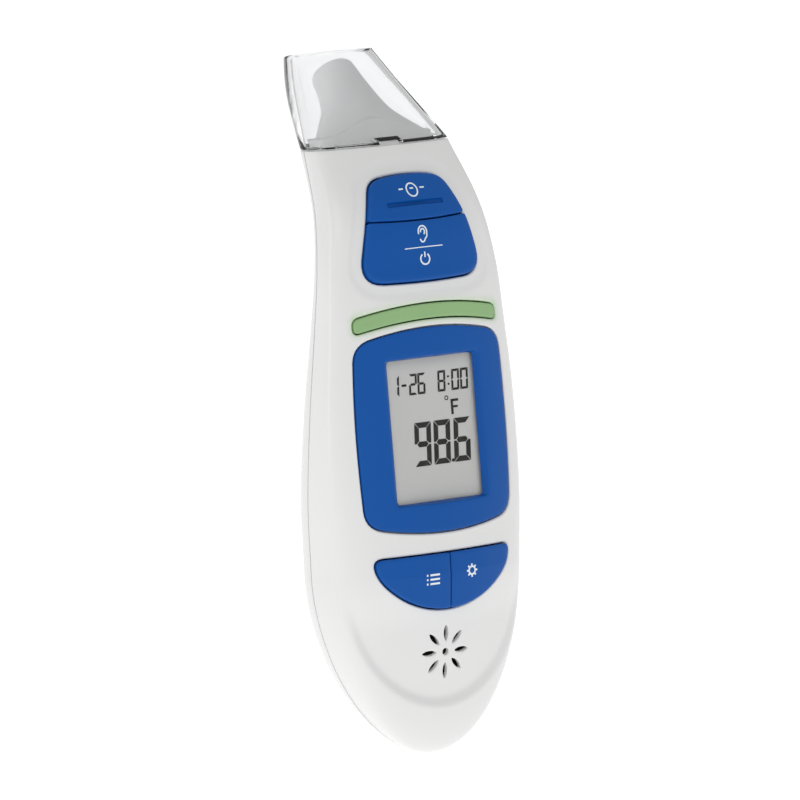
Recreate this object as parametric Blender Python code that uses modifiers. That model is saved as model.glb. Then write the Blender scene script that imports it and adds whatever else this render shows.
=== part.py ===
"""Infrared ear and forehead thermometer, modelled as the separate pieces it is assembled from.

Values are in millimetres and are turned to metres where a mesh or a place is made.
+Z runs up the body, the display faces -Y, and the body is symmetric about X = 0.
Down the face, a frame gives local places: x across, up along the face, deep into the body.
"""
import math

import bmesh
import bpy
from mathutils import Matrix, Vector

MM = 0.001
GAP = 0.3                     # clearance between neighbouring pieces

# Body
BODY_LENGTH = 129.5           # chin tip to cap seam
BODY_WIDTH = 50.0
BODY_DEPTH = 33.2
SEAM_HEIGHT = 54.0            # cap seam above the origin, which is the middle of the grip
SEAM_TILT = 6.0               # degrees that the seam leans back
NECK_START = 0.907            # share of the body length where the seam's lean begins
FRONT_FULLNESS = 7.3          # superellipse powers of the section's two halves
BACK_FULLNESS = 1.9
FACE_CROWN = 0.31             # share of the front's depth that is an even curve across the face
WALL = 2.4

# Section stations: share of length above the chin, then share of the half width,
# then front, parting line and back as shares of the depth
STATIONS = (
    (0.313, 0.972, -0.530, -0.012, 0.452),
    (0.436, 1.000, -0.476, -0.009, 0.464),
    (0.583, 0.980, -0.389, -0.015, 0.410),
    (0.714, 0.920, -0.319, 0.000, 0.334),
    (0.815, 0.872, -0.244, 0.024, 0.289),
    (0.907, 0.792, -0.154, 0.136, 0.370),
    (1.000, 0.700, 0.120, 0.361, 0.642),
)
CHIN_TIP = -0.313             # the chin tip's place front to back, as a share of the depth
CHIN_POWERS = (1.94, 2.57, 1.3, 1.87)   # closing curves of width, front, parting line and back
ARC_STEPS = 20                # facets round one half of a section

# Clear cap
CAP_WALL = 1.5
CAP_HEIGHT = 18.0
CAP_RIM_WIDTH = 19.8
CAP_RIM_FRONT = 21.6
CAP_RIM_MIDDLE = 28.1
CAP_RIM_BACK = 38.2
CAP_RIM_TILT = 10.5
CAP_BACK_BULGE = 3.7
CAP_LEAN = 46.5               # degrees from upright in which the cap pulls off
CAP_FULLNESS = 3.9            # the front's superellipse power at the rim

# Probe nose
NOSE_WALL = 1.4
NOSE_GAP = 0.6                # between the collar and the shells or the cap
COLLAR_DEPTH = 4.5            # how far the collar reaches down inside the shells
COLLAR_SHARE = 0.2            # how far up the cap the collar reaches
TIP_BACK = 27.4
TIP_HEIGHT = 14.0             # above the seam
TIP_RADIUS = 4.7
TIP_LEAN = 48.0
TIP_BORE = 3.3
# Cone's rings: distance below the tip, half width, half depth, share of the tip's lean
CONE_RINGS = (
    (13.0, 8.8, 5.0, 0.35),
    (10.5, 7.2, 4.8, 0.62),
    (6.0, 5.6, 4.75, 0.95),
)

# Display, from the middle of the bezel
DISPLAY_MIDDLE = -58.2        # all heights on the face are from the seam
BEZEL_HEIGHT = 38.8           # between its corners
BEZEL_MARGIN = 5.4            # face left between bezel and the body's side
BEZEL_CROWN = 2.5             # how far its top and bottom arch
BEZEL_SIDE_BULGE = 0.7
BEZEL_CORNER = 3.6
BEZEL_THICKNESS = 1.4
BEZEL_LEDGE = 2.2             # width of the step that it sits on
FRAME_SIDE = 6.1              # blue beside the window
FRAME_TOP = 3.5
FRAME_BOTTOM = 3.6
WINDOW_SIDE_DRAFT = 1.1       # the window recess narrows this much per millimetre of depth
WINDOW_END_DRAFT = 0.25
WINDOW_DEPTH = 1.9
WINDOW_THICKNESS = 0.5
LCD_THICKNESS = 2.0
LCD_OVERLAP = 1.2             # the panel reaches this far past the window's visible edge
HOLDER_WALL = 1.2
HOLDER_DROP = 0.8             # holder's rim below the panel's face
BOARD_DEPTH = 7.8             # main board's front below the face
BOARD_THICKNESS = 1.0
BOARD_MARGIN = 3.4            # board edge inside the bezel's edge
BOARD_ABOVE = 25.0            # board's reach above and below the display's middle
BOARD_BELOW = 39.0

# Light bar
BAR_MIDDLE = -34.0
BAR_HEIGHT = 3.1
BAR_MARGIN = 4.4
BAR_ARCH = 1.9

# Head and ear keys
KEYS_LOW = -26.6
KEYS_HIGH = -4.9
KEYS_TOP_WIDTH = 18.0
KEYS_BOTTOM_MARGIN = 6.7
KEYS_SPLIT = -14.05           # middle of the gap between the two keys
KEYS_SPLIT_RADIUS = 106.0     # the gap is an arc, lowest at the middle

# Memory and set keys
MEM_TOP = -84.5
MEM_HEIGHT = 12.0
MEM_MARGIN = 6.8
MEM_TIP = 3.8                 # height of the pair's two ends

# What all keys share
KEY_RISE = 0.5
KEY_THICKNESS = 3.2
KEY_TRAVEL = 0.6
KEY_FLANGE = 0.9
KEY_FLANGE_THICKNESS = 0.5
STEM_RADIUS = 1.4
SWITCH_SIDE = 4.6
SWITCH_HEIGHT = 1.6
SWITCH_PLUNGER = 0.5

# Speaker
SPEAKER_HEIGHT = -106.5
SPEAKER_RADIUS = 7.0
SPEAKER_THICKNESS = 3.0
SPEAKER_DEPTH = 4.6
GASKET_THICKNESS = 0.7
PETAL_COUNT = 8
PETAL_INNER = 2.5
PETAL_OUTER = 5.8
PETAL_WIDTH = 1.15
CENTRE_HOLE = 0.75

# Batteries, two AAA cells side by side
CELL_RADIUS = 5.25
CELL_LENGTH = 44.5
CELL_SPACING = 11.1
BAY_MIDDLE = -78.5
BAY_LENGTH = 49.4
BAY_CROWN = 1.6               # room for the back's roundness
TRAY_WALL = 1.2
CONTACT_THICKNESS = 0.4
SPRING_WIRE = 0.35
SPRING_LENGTH = 2.2
SPRING_TURNS = 3

# Battery door
DOOR_WIDTH = 30.0
DOOR_LOW = -108.5
DOOR_HIGH = -54.5
DOOR_THICKNESS = 1.5
DOOR_LEDGE = 1.6
DOOR_CORNER = 3.0
HOOK_WIDTH = 8.0
HOOK_THICKNESS = 1.1
HOOK_REACH = 1.2              # how far the hook's tongue passes below the door's edge

# Screws through the rear shell into the front shell's bosses
SCREW_X = 11.5
SCREW_HEIGHT = -114.0
SCREW_SHAFT = 1.1
SCREW_HEAD = 2.2
SCREW_HEAD_HEIGHT = 1.4
BOSS_RADIUS = 3.2

parts = bpy.data.collections.new("ear_thermometer")
cutters = bpy.data.collections.new("cutters")


# Scene, materials and objects

def clear_scene():
    for obj in list(bpy.data.objects):
        bpy.data.objects.remove(obj)
    bpy.context.scene.collection.children.link(parts)
    bpy.context.scene.collection.children.link(cutters)


def material(name, colour, roughness, metallic=0.0, alpha=1.0):
    made = bpy.data.materials.new(name)
    made.use_nodes = True
    shader = made.node_tree.nodes["Principled BSDF"]
    shader.inputs["Base Color"].default_value = (*colour, 1.0)
    shader.inputs["Roughness"].default_value = roughness
    shader.inputs["Metallic"].default_value = metallic
    shader.inputs["Alpha"].default_value = alpha
    made.diffuse_color = (*colour, alpha)
    return made


def finish_mesh(name, bm, finish):
    """A part when it has a finish, a hidden cutter when it has none."""
    mesh = bpy.data.meshes.new(name)
    bm.to_mesh(mesh)
    bm.free()
    obj = bpy.data.objects.new(name, mesh)
    if finish is None:
        cutters.objects.link(obj)
        obj.hide_render = True
        obj.display_type = "WIRE"
    else:
        parts.objects.link(obj)
        mesh.materials.append(finish)
        mesh.shade_smooth()
        mesh.set_sharp_from_angle(angle=math.radians(35.0))
    return obj


def boolean(obj, operation, tool):
    modifier = obj.modifiers.new(tool.name, "BOOLEAN")
    modifier.operation = operation
    modifier.solver = "EXACT"
    modifier.object = tool
    return obj


def move_origin(obj, point):
    """Puts the object's origin at a point given in millimetres, leaving its mesh where it is."""
    place = Vector(point) * MM
    obj.data.transform(obj.matrix_basis)
    obj.data.transform(Matrix.Translation(-place))
    obj.matrix_basis = Matrix.Translation(place)
    return obj


# The body's surface

def height_at(share):
    return SEAM_HEIGHT - (1.0 - share) * BODY_LENGTH


def cubic_through(column, share):
    """One column of the station table at a share of the length, by a cubic through the stations."""
    last = len(STATIONS) - 1
    slopes = []
    for index in range(last + 1):
        low, high = STATIONS[max(index - 1, 0)], STATIONS[min(index + 1, last)]
        slopes.append((high[column] - low[column]) / (high[0] - low[0]))
    if share > STATIONS[last][0]:
        return STATIONS[last][column] + slopes[last] * (share - STATIONS[last][0])
    index = 0
    while index < last - 1 and share > STATIONS[index + 1][0]:
        index += 1
    start, end = STATIONS[index], STATIONS[index + 1]
    span = end[0] - start[0]
    t = (share - start[0]) / span
    blend = t * t * (3.0 - 2.0 * t)
    value = start[column] * (1.0 - blend) + end[column] * blend
    value += span * (t * (1.0 - t) ** 2 * slopes[index] - t * t * (1.0 - t) * slopes[index + 1])
    return value


def slant(slope):
    """Level width of a layer one millimetre thick on a surface that moves by slope per millimetre."""
    return math.hypot(1.0, slope)


def body_section(height, grow=0.0):
    """Half width, front, parting line, back and lean of the section at a height."""
    half, depth = BODY_WIDTH / 2.0, BODY_DEPTH
    share = 1.0 - (SEAM_HEIGHT - height) / BODY_LENGTH
    first = STATIONS[0]
    if share >= first[0]:
        width, front, middle, back = [cubic_through(column, share) for column in range(1, 5)]
        step = 0.01
        slopes = [(cubic_through(column, share + step) - cubic_through(column, share)) / (step * BODY_LENGTH)
                  for column in range(1, 5)]
        lean = SEAM_TILT * max(0.0, (share - NECK_START) / (1.0 - NECK_START))
        return (width * half + grow * slant(slopes[0] * half),
                front * depth - grow * slant(slopes[1] * depth), middle * depth,
                back * depth + grow * slant(slopes[3] * depth), math.radians(lean))
    drop = (height_at(first[0]) - height) / (first[0] * BODY_LENGTH + grow)
    closing = [max(0.0, 1.0 - drop ** power) ** (1.0 / power) for power in CHIN_POWERS]
    tip = CHIN_TIP * depth
    width = (first[1] * half + grow) * closing[0]
    front = tip + (first[2] * depth - grow - tip) * closing[1]
    middle = tip + (first[3] * depth - tip) * closing[2]
    back = tip + (first[4] * depth + grow - tip) * closing[3]
    return width, front, middle, back, 0.0


def cap_fullness(share):
    return FRONT_FULLNESS + (CAP_FULLNESS - FRONT_FULLNESS) * min(1.0, 1.5 * share)


def cap_section(share, grow=0.0):
    """The same values for the clear cap, from the seam at 0 to its rim at 1."""
    half, front, middle, back, lean = body_section(SEAM_HEIGHT)
    rise = [CAP_RIM_WIDTH / 2.0 - half, CAP_RIM_FRONT - front, CAP_RIM_MIDDLE - middle, CAP_RIM_BACK - back]
    bulge = CAP_BACK_BULGE * 4.0 * share * (1.0 - share)
    return (half + rise[0] * share + grow * slant(rise[0] / CAP_HEIGHT),
            front + rise[1] * share - grow * slant(rise[1] / CAP_HEIGHT),
            middle + rise[2] * share,
            back + rise[3] * share + bulge + grow * slant(rise[3] / CAP_HEIGHT),
            lean + (math.radians(CAP_RIM_TILT) - lean) * share)


def rise_share(share, side, fullness):
    """The section's rise above the parting line at a share of its half width, from 0 to 1."""
    if share > 0.9999:
        return 0.0
    rise = (1.0 - share ** fullness) ** (1.0 / fullness)
    if side > 0:
        return rise
    return (1.0 - FACE_CROWN) * rise + FACE_CROWN * (1.0 - share * share)


def half_ring(section, height, side, fullness, steps=ARC_STEPS):
    """Points from +X to -X round the front (side -1) or the back (side 1) of a section."""
    half, front, middle, back, lean = section
    reach = middle - front if side < 0 else back - middle
    points = []
    for step in range(steps + 1):
        share = math.cos(math.pi * step / steps)
        x = half * share
        out = side * reach * rise_share(abs(share), side, fullness)
        points.append(Vector((x, middle + out * math.cos(lean), height - out * math.sin(lean))) * MM)
    return points


def full_ring(section, height, front_fullness, steps=ARC_STEPS):
    """Closed ring of points: round the front from +X to -X, then back round the rear."""
    front = half_ring(section, height, -1, front_fullness, steps)
    back = half_ring(section, height, 1, BACK_FULLNESS, steps)
    return front[:-1] + back[::-1][:-1]


def body_heights(grow=0.0):
    """Heights of the loft's rows, closer together round the chin; the last stands above the seam."""
    first = height_at(STATIONS[0][0])
    chin = STATIONS[0][0] * BODY_LENGTH + grow
    heights = [first - chin * math.cos(math.radians(angle)) for angle in (0, 8, 17, 27, 38, 50, 63, 76)]
    rows = 15
    top = SEAM_HEIGHT + 2.0 * WALL
    return heights + [first + (top - first) * row / rows for row in range(rows + 1)]


def row_verts(bm, row):
    """Vertices for a row of points; a row whose points coincide becomes one vertex."""
    if max((point - row[0]).length for point in row) < 1e-6:
        return [bm.verts.new(row[0])] * len(row)
    return [bm.verts.new(point) for point in row]


def add_face(bm, verts):
    corners = []
    for vert in verts:
        if vert not in corners:
            corners.append(vert)
    if len(corners) > 2:
        bm.faces.new(corners)


def loft(rows, close_rows=False):
    """Quads between closed rings of points."""
    bm = bmesh.new()
    made = [row_verts(bm, row) for row in rows]
    pairs = list(zip(made, made[1:]))
    if close_rows:
        pairs.append((made[-1], made[0]))
    for lower, upper in pairs:
        for index in range(len(lower)):
            after = (index + 1) % len(lower)
            add_face(bm, (lower[index], lower[after], upper[after], upper[index]))
    return bm


def layer(outer, inner):
    """Closed solid between two open sheets of rows that match point for point."""
    bm = bmesh.new()
    sheets = [[row_verts(bm, row) for row in rows] for rows in (outer, inner)]
    for sheet in sheets:
        for lower, upper in zip(sheet, sheet[1:]):
            for index in range(len(lower) - 1):
                add_face(bm, (lower[index], lower[index + 1], upper[index + 1], upper[index]))
    out, into = sheets
    for end in (0, -1):
        for row in range(len(out) - 1):
            add_face(bm, (out[row][end], out[row + 1][end], into[row + 1][end], into[row][end]))
    for index in range(len(out[-1]) - 1):
        add_face(bm, (out[-1][index], out[-1][index + 1], into[-1][index + 1], into[-1][index]))
    bmesh.ops.recalc_face_normals(bm, faces=bm.faces)
    return bm


def body_skin(name, side, thickness, finish=None, grow=0.0):
    """A layer of one half of the body, from a distance outside its surface inwards."""
    fullness = FRONT_FULLNESS if side < 0 else BACK_FULLNESS
    sheets = []
    for reach in (grow, grow - thickness):
        sheets.append([half_ring(body_section(height, reach), height, side, fullness)
                       for height in body_heights(reach)])
    return finish_mesh(name, layer(*sheets), finish)


def shell_room(name, side):
    """The space on one side of the parting line and below the seam, which a shell keeps to."""
    seam = body_section(SEAM_HEIGHT)
    fall = math.tan(seam[4])
    profile = []
    for height in body_heights():
        if height < SEAM_HEIGHT - 1.0:
            profile.append((body_section(height)[2] + side * GAP / 2.0, height))
    profile.append((seam[2] + side * GAP / 2.0, SEAM_HEIGHT - side * GAP / 2.0 * fall))
    profile.append((seam[2] + side * BODY_DEPTH, SEAM_HEIGHT - side * BODY_DEPTH * fall))
    low = height_at(0.0) - WALL
    profile.append((seam[2] + side * BODY_DEPTH, low))
    profile.append((profile[0][0], low))
    bm = bmesh.new()
    rings = []
    for x in (-BODY_WIDTH, BODY_WIDTH):
        rings.append([bm.verts.new(Vector((x, back, height)) * MM) for back, height in profile])
    edges = []
    for ring in rings:
        edges += bm.faces.new(ring).edges
    bmesh.ops.bridge_loops(bm, edges=edges)
    bmesh.ops.recalc_face_normals(bm, faces=bm.faces)
    return finish_mesh(name, bm, None)


def body_core(name, grow):
    """The closed body inside a given layer, used to trim what stands in the shells."""
    heights = body_heights(grow)[1:]
    rows = [full_ring(body_section(height, grow), height, FRONT_FULLNESS) for height in heights]
    bm = loft(rows)
    bmesh.ops.holes_fill(bm, edges=[edge for edge in bm.edges if edge.is_boundary])
    bmesh.ops.recalc_face_normals(bm, faces=bm.faces)
    return finish_mesh(name, bm, None)


# Frames on the face, outlines and simple solids

class Frame:
    """A place on the body: local x across, local y into the body and local z up the face."""

    def __init__(self, origin, tilt, side=-1):
        turn = Matrix.Rotation(-tilt, 4, "X")
        if side > 0:
            turn = turn @ Matrix.Rotation(math.pi, 4, "Z")
        self.matrix = Matrix.Translation(Vector(origin) * MM) @ turn
        self.origin = Vector(origin)
        self.inward = (turn @ Vector((0.0, 1.0, 0.0))).normalized()

    def point(self, x, deep, up):
        """World place in millimetres of a local place."""
        return (self.matrix @ (Vector((x, deep, up)) * MM)) / MM


def face_frame(low, high):
    """Frame on the chord of the front line between two heights."""
    front_low, front_high = body_section(low)[1], body_section(high)[1]
    tilt = math.atan2(front_high - front_low, high - low)
    return Frame((0.0, (front_low + front_high) / 2.0, (low + high) / 2.0), tilt)


def arc_edge(start, end, sag, begin, finish, steps):
    """Points of a circular edge that bulges by sag to the right of its direction."""
    chord = end - start
    length = chord.length
    side = Vector((chord.y, -chord.x)) / length
    points = []
    for step in range(steps + 1):
        share = (begin + (length - begin - finish) * step / steps) / length
        across = (share - 0.5) * length
        if abs(sag) > 1e-6:
            radius = (length * length / 4.0 + sag * sag) / (2.0 * abs(sag))
            rise = math.sqrt(radius * radius - across * across) - (radius - abs(sag))
            rise = math.copysign(rise, sag)
        else:
            rise = 0.0
        points.append(start + chord * share + side * rise)
    return points


def outline(corners, edge_steps=5, corner_steps=3):
    """Closed outline from corners (x, up, rounding, sag of the next edge), anticlockwise."""
    count = len(corners)
    edges = []
    for index, corner in enumerate(corners):
        after = corners[(index + 1) % count]
        steps = edge_steps if abs(corner[3]) > 1e-6 else 1
        edges.append(arc_edge(Vector(corner[:2]), Vector(after[:2]), corner[3],
                              corner[2], after[2], steps))
    points = []
    for index, edge in enumerate(edges):
        points += edge
        corner = Vector(corners[(index + 1) % count][:2])
        start, end = edge[-1], edges[(index + 1) % count][0]
        for step in range(1, corner_steps):
            t = step / corner_steps
            points.append(start * (1 - t) ** 2 + corner * (2 * t * (1 - t)) + end * t * t)
    return points


def grown(points, distance):
    """The outline moved outwards by a distance."""
    result = []
    count = len(points)
    for index, point in enumerate(points):
        before = (point - points[index - 1]).normalized()
        after = (points[(index + 1) % count] - point).normalized()
        normal = Vector((before.y + after.y, -before.x - after.x)).normalized()
        stretch = max(0.5, normal.dot(Vector((before.y, -before.x))))
        result.append(point + normal * (distance / stretch))
    return result


def prism(name, frame, points, shallow, deep, finish=None, inner=None):
    """Solid on an outline between two depths of a frame; inner is its outline at the deep end."""
    bm = bmesh.new()
    rings = []
    for ring, depth in ((points, shallow), (inner or points, deep)):
        rings.append([bm.verts.new(Vector((point.x, depth, point.y)) * MM) for point in ring])
    edges = []
    for ring in rings:
        face = bm.faces.new(ring)
        edges += face.edges
    bmesh.ops.bridge_loops(bm, edges=edges)
    bmesh.ops.recalc_face_normals(bm, faces=bm.faces)
    obj = finish_mesh(name, bm, finish)
    obj.matrix_world = frame.matrix
    return obj


def box(name, frame, low, high, finish=None):
    """Box between two local corners (x, deep, up)."""
    bm = bmesh.new()
    low, high = Vector(low), Vector(high)
    size = high - low
    bmesh.ops.create_cube(bm, size=1.0)
    bmesh.ops.scale(bm, vec=size * MM, verts=bm.verts)
    bmesh.ops.translate(bm, vec=(low + high) / 2.0 * MM, verts=bm.verts)
    obj = finish_mesh(name, bm, finish)
    obj.matrix_world = frame.matrix
    return obj


def cylinder(name, frame, x, up, radius, shallow, deep, finish=None, segments=16):
    """Round bar along the frame's depth."""
    bm = bmesh.new()
    bmesh.ops.create_cone(bm, cap_ends=True, segments=segments, radius1=radius * MM,
                          radius2=radius * MM, depth=(deep - shallow) * MM)
    bmesh.ops.rotate(bm, matrix=Matrix.Rotation(math.pi / 2.0, 3, "X"), verts=bm.verts)
    middle = Vector((x, (shallow + deep) / 2.0, up)) * MM
    bmesh.ops.translate(bm, vec=middle, verts=bm.verts)
    obj = finish_mesh(name, bm, finish)
    obj.matrix_world = frame.matrix
    return obj


def turned(name, frame, profile, finish, steps=20):
    """Solid turned about the frame's up axis from a closed profile of (radius, up), top to bottom."""
    bm = bmesh.new()
    verts = [bm.verts.new(Vector((radius, 0.0, up)) * MM) for radius, up in profile]
    for first, second in zip(verts, verts[1:] + verts[:1]):
        bm.edges.new((first, second))
    obj = finish_mesh(name, bm, finish)
    obj.matrix_world = frame.matrix
    screw = obj.modifiers.new("turn", "SCREW")
    screw.steps = screw.render_steps = steps
    screw.use_merge_vertices = True
    screw.merge_threshold = 0.00001
    return obj


def wire(name, points, radius, finish, closed_ends=True):
    """Round wire along a smooth curve through the given points, in millimetres."""
    curve = bpy.data.curves.new(name, "CURVE")
    curve.dimensions = "3D"
    curve.bevel_depth = radius * MM
    curve.bevel_resolution = 1
    curve.use_fill_caps = closed_ends
    spline = curve.splines.new("POLY")
    spline.points.add(len(points) - 1)
    for target, point in zip(spline.points, points):
        target.co = (*(Vector(point) * MM), 1.0)
    curve.materials.append(finish)
    obj = bpy.data.objects.new(name, curve)
    parts.objects.link(obj)
    return obj


def smooth_route(points, steps=4):
    """Points on a curve that passes through every given point."""
    vectors = [Vector(point) for point in points]
    ends = [vectors[0] * 2 - vectors[1]] + vectors + [vectors[-1] * 2 - vectors[-2]]
    route = []
    for before, start, end, after in zip(ends, ends[1:], ends[2:], ends[3:]):
        for step in range(steps):
            t = step / steps
            route.append(0.5 * (2 * start + (end - before) * t
                                + (2 * before - 5 * start + 4 * end - after) * t * t
                                + (3 * start - before - 3 * end + after) * t ** 3))
    return route + [vectors[-1]]


# Outlines and frames that several pieces share

def seam_height(below):
    return SEAM_HEIGHT + below


def display_frame():
    middle = seam_height(DISPLAY_MIDDLE)
    return face_frame(middle - BEZEL_HEIGHT / 2.0, middle + BEZEL_HEIGHT / 2.0)


def face_half_width(below, margin):
    return body_section(seam_height(below))[0] - margin


def bezel_outline(grow=0.0):
    half = face_half_width(DISPLAY_MIDDLE, BEZEL_MARGIN) - BEZEL_SIDE_BULGE
    up = BEZEL_HEIGHT / 2.0
    corners = ((half, -up, BEZEL_CORNER, BEZEL_SIDE_BULGE), (half, up, BEZEL_CORNER, BEZEL_CROWN),
               (-half, up, BEZEL_CORNER, BEZEL_SIDE_BULGE), (-half, -up, BEZEL_CORNER, BEZEL_CROWN))
    return grown(outline(corners), grow)


def window_outline(depth, grow=0.0):
    """The window recess at a depth below the bezel's face."""
    half = face_half_width(DISPLAY_MIDDLE, BEZEL_MARGIN) - FRAME_SIDE - WINDOW_SIDE_DRAFT * depth + grow
    top = BEZEL_HEIGHT / 2.0 - FRAME_TOP - WINDOW_END_DRAFT * depth + grow
    bottom = -BEZEL_HEIGHT / 2.0 + FRAME_BOTTOM + WINDOW_END_DRAFT * depth - grow
    corners = ((half, bottom, 1.0, 0.0), (half, top, 1.0, 0.0),
               (-half, top, 1.0, 0.0), (-half, bottom, 1.0, 0.0))
    return outline(corners, corner_steps=2)


def bar_outline(grow=0.0):
    half = face_half_width(BAR_MIDDLE, BAR_MARGIN)
    up = BAR_HEIGHT / 2.0
    drop = BAR_ARCH / 2.0
    corners = ((half, -up - drop, 1.2, 0.0), (half, up - drop, 1.2, BAR_ARCH),
               (-half, up - drop, 1.2, 0.0), (-half, -up - drop, 1.2, -BAR_ARCH))
    return grown(outline(corners, edge_steps=8), grow)


def keys_frame():
    return face_frame(seam_height(KEYS_LOW), seam_height(KEYS_HIGH))


def keys_reach():
    """Half the slanted height of the head and ear keys."""
    low, high = seam_height(KEYS_LOW), seam_height(KEYS_HIGH)
    rise = body_section(high)[1] - body_section(low)[1]
    return math.hypot(high - low, rise) / 2.0 - 0.9


def keys_outline(grow=0.0):
    up = keys_reach()
    bottom = face_half_width(KEYS_LOW, KEYS_BOTTOM_MARGIN)
    top = KEYS_TOP_WIDTH / 2.0
    corners = ((bottom, -up, 5.0, 0.6), (top, up, 2.6, 0.8), (-top, up, 2.6, 0.6), (-bottom, -up, 5.0, 0.9))
    return grown(outline(corners), grow)


def mem_frame():
    """On the face at the memory and set keys, parallel to the main board."""
    middle = seam_height(MEM_TOP - MEM_HEIGHT / 2.0)
    return Frame((0.0, body_section(middle)[1], middle), face_tilt(display_frame()))


def mem_outline(grow=0.0):
    half = face_half_width(MEM_TOP - 3.0, MEM_MARGIN)
    up = MEM_HEIGHT / 2.0
    low = up - MEM_TIP
    corners = ((-half + 0.9, low, 1.6, MEM_HEIGHT - MEM_TIP), (half - 0.9, low, 1.6, 0.0),
               (half, up, 2.0, 0.0), (-half, up, 2.0, 0.0))
    return grown(outline(corners, edge_steps=12, corner_steps=4), grow)


def speaker_frame():
    middle = seam_height(SPEAKER_HEIGHT)
    return face_frame(middle - SPEAKER_RADIUS, middle + SPEAKER_RADIUS)


def cell_depth():
    """The cells' distance front to back, clear of the rear shell's inside."""
    reach = CELL_LENGTH / 2.0
    backs = [body_section(seam_height(BAY_MIDDLE + offset))[3] for offset in (-reach, reach)]
    return min(backs) - WALL - GAP - BAY_CROWN - CELL_RADIUS


def bay_frame():
    """Frame of the battery bay, looking in from the back: deep runs towards the front."""
    return Frame((0.0, cell_depth(), seam_height(BAY_MIDDLE)), 0.0)


def screw_frame(x):
    return Frame((x, 0.0, seam_height(SCREW_HEIGHT)), 0.0)


def back_surface(x, height):
    """How far back the body's surface is at a place on the rear."""
    half, _, middle, back, _ = body_section(height)
    return middle + (back - middle) * rise_share(abs(x / half), 1, BACK_FULLNESS)


# Case

def front_shell(finish):
    shell = body_skin("front_shell", -1, WALL, finish)
    boolean(shell, "INTERSECT", shell_room("front_room", -1))
    core = body_core("front_boss_trim", -WALL / 2.0)
    for side in (-1, 1):
        frame = screw_frame(side * SCREW_X)
        middle = body_section(seam_height(SCREW_HEIGHT))[2]
        boss = cylinder(f"front_boss_{side}", frame, 0.0, 0.0, BOSS_RADIUS,
                        -BODY_DEPTH, middle - GAP / 2.0, segments=16)
        boolean(boss, "INTERSECT", core)
        boolean(shell, "UNION", boss)
        bore = cylinder(f"front_bore_{side}", frame, 0.0, 0.0, SCREW_SHAFT + GAP,
                        middle - 6.0, middle + 5.0, segments=12)
        boolean(shell, "DIFFERENCE", bore)
    display = display_frame()
    pocket = body_skin("bezel_pocket", -1, BEZEL_THICKNESS + 1.5 * GAP + 1.0, grow=1.0)
    boolean(pocket, "INTERSECT", prism("bezel_pocket_side", display, bezel_outline(GAP), -8.0, 12.0))
    boolean(shell, "DIFFERENCE", pocket)
    holes = (
        prism("bezel_hole", display, bezel_outline(-BEZEL_LEDGE), -8.0, 9.0),
        prism("bar_hole", bar_frame(), bar_outline(GAP), -6.0, 9.0),
        prism("keys_hole", keys_frame(), keys_outline(GAP), -8.0, 9.0),
        prism("mem_hole", mem_frame(), mem_outline(GAP), -6.0, 9.0),
    )
    for hole in holes:
        boolean(shell, "DIFFERENCE", hole)
    frame = speaker_frame()
    boolean(shell, "DIFFERENCE", cylinder("centre_hole", frame, 0.0, 0.0, CENTRE_HOLE, -4.0, 8.0, segments=10))
    for index in range(PETAL_COUNT):
        turn = 2.0 * math.pi * index / PETAL_COUNT
        petal = cylinder(f"petal_{index}", frame, 0.0, 0.0, PETAL_WIDTH / 2.0, -4.0, 8.0, segments=10)
        stretch = (PETAL_OUTER - PETAL_INNER) / PETAL_WIDTH
        petal.data.transform(Matrix.Diagonal((1.0, 1.0, stretch, 1.0)))
        petal.data.transform(Matrix.Translation((0.0, 0.0, (PETAL_INNER + PETAL_OUTER) / 2.0 * MM)))
        petal.data.transform(Matrix.Rotation(turn, 4, "Y"))
        boolean(shell, "DIFFERENCE", petal)
    return shell


def door_outline(grow=0.0):
    half = DOOR_WIDTH / 2.0
    middle = (DOOR_LOW + DOOR_HIGH) / 2.0
    low, high = DOOR_LOW - middle, DOOR_HIGH - middle
    corners = ((half, low, DOOR_CORNER, 0.0), (half, high, DOOR_CORNER, 0.0),
               (-half, high, DOOR_CORNER, 0.0), (-half, low, DOOR_CORNER, 0.0))
    return grown(outline(corners), grow)


def door_frame():
    return Frame((0.0, 0.0, seam_height((DOOR_LOW + DOOR_HIGH) / 2.0)), 0.0)


def rear_shell(finish):
    shell = body_skin("rear_shell", 1, WALL, finish)
    boolean(shell, "INTERSECT", shell_room("rear_room", 1))
    core = body_core("rear_boss_trim", -WALL / 2.0)
    for side in (-1, 1):
        frame = screw_frame(side * SCREW_X)
        height = seam_height(SCREW_HEIGHT)
        middle = body_section(height)[2]
        boss = cylinder(f"rear_boss_{side}", frame, 0.0, 0.0, BOSS_RADIUS,
                        middle + GAP / 2.0, BODY_DEPTH, segments=16)
        boolean(boss, "INTERSECT", core)
        boolean(shell, "UNION", boss)
        seat = back_surface(SCREW_X, height) - WALL - SCREW_HEAD_HEIGHT
        boolean(shell, "DIFFERENCE", cylinder(f"head_seat_{side}", frame, 0.0, 0.0, SCREW_HEAD + GAP,
                                              seat, BODY_DEPTH, segments=16))
        boolean(shell, "DIFFERENCE", cylinder(f"rear_bore_{side}", frame, 0.0, 0.0, SCREW_SHAFT + GAP,
                                              middle - 4.0, seat + 1.0, segments=12))
    pocket = body_skin("door_pocket", 1, DOOR_THICKNESS + 1.5 * GAP + 1.0, grow=1.0)
    boolean(pocket, "INTERSECT", prism("door_pocket_side", door_frame(), door_outline(GAP), 2.0, 30.0))
    boolean(shell, "DIFFERENCE", pocket)
    boolean(shell, "DIFFERENCE", prism("door_hole", door_frame(), door_outline(-DOOR_LEDGE), 1.0, 30.0))
    return shell


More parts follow.
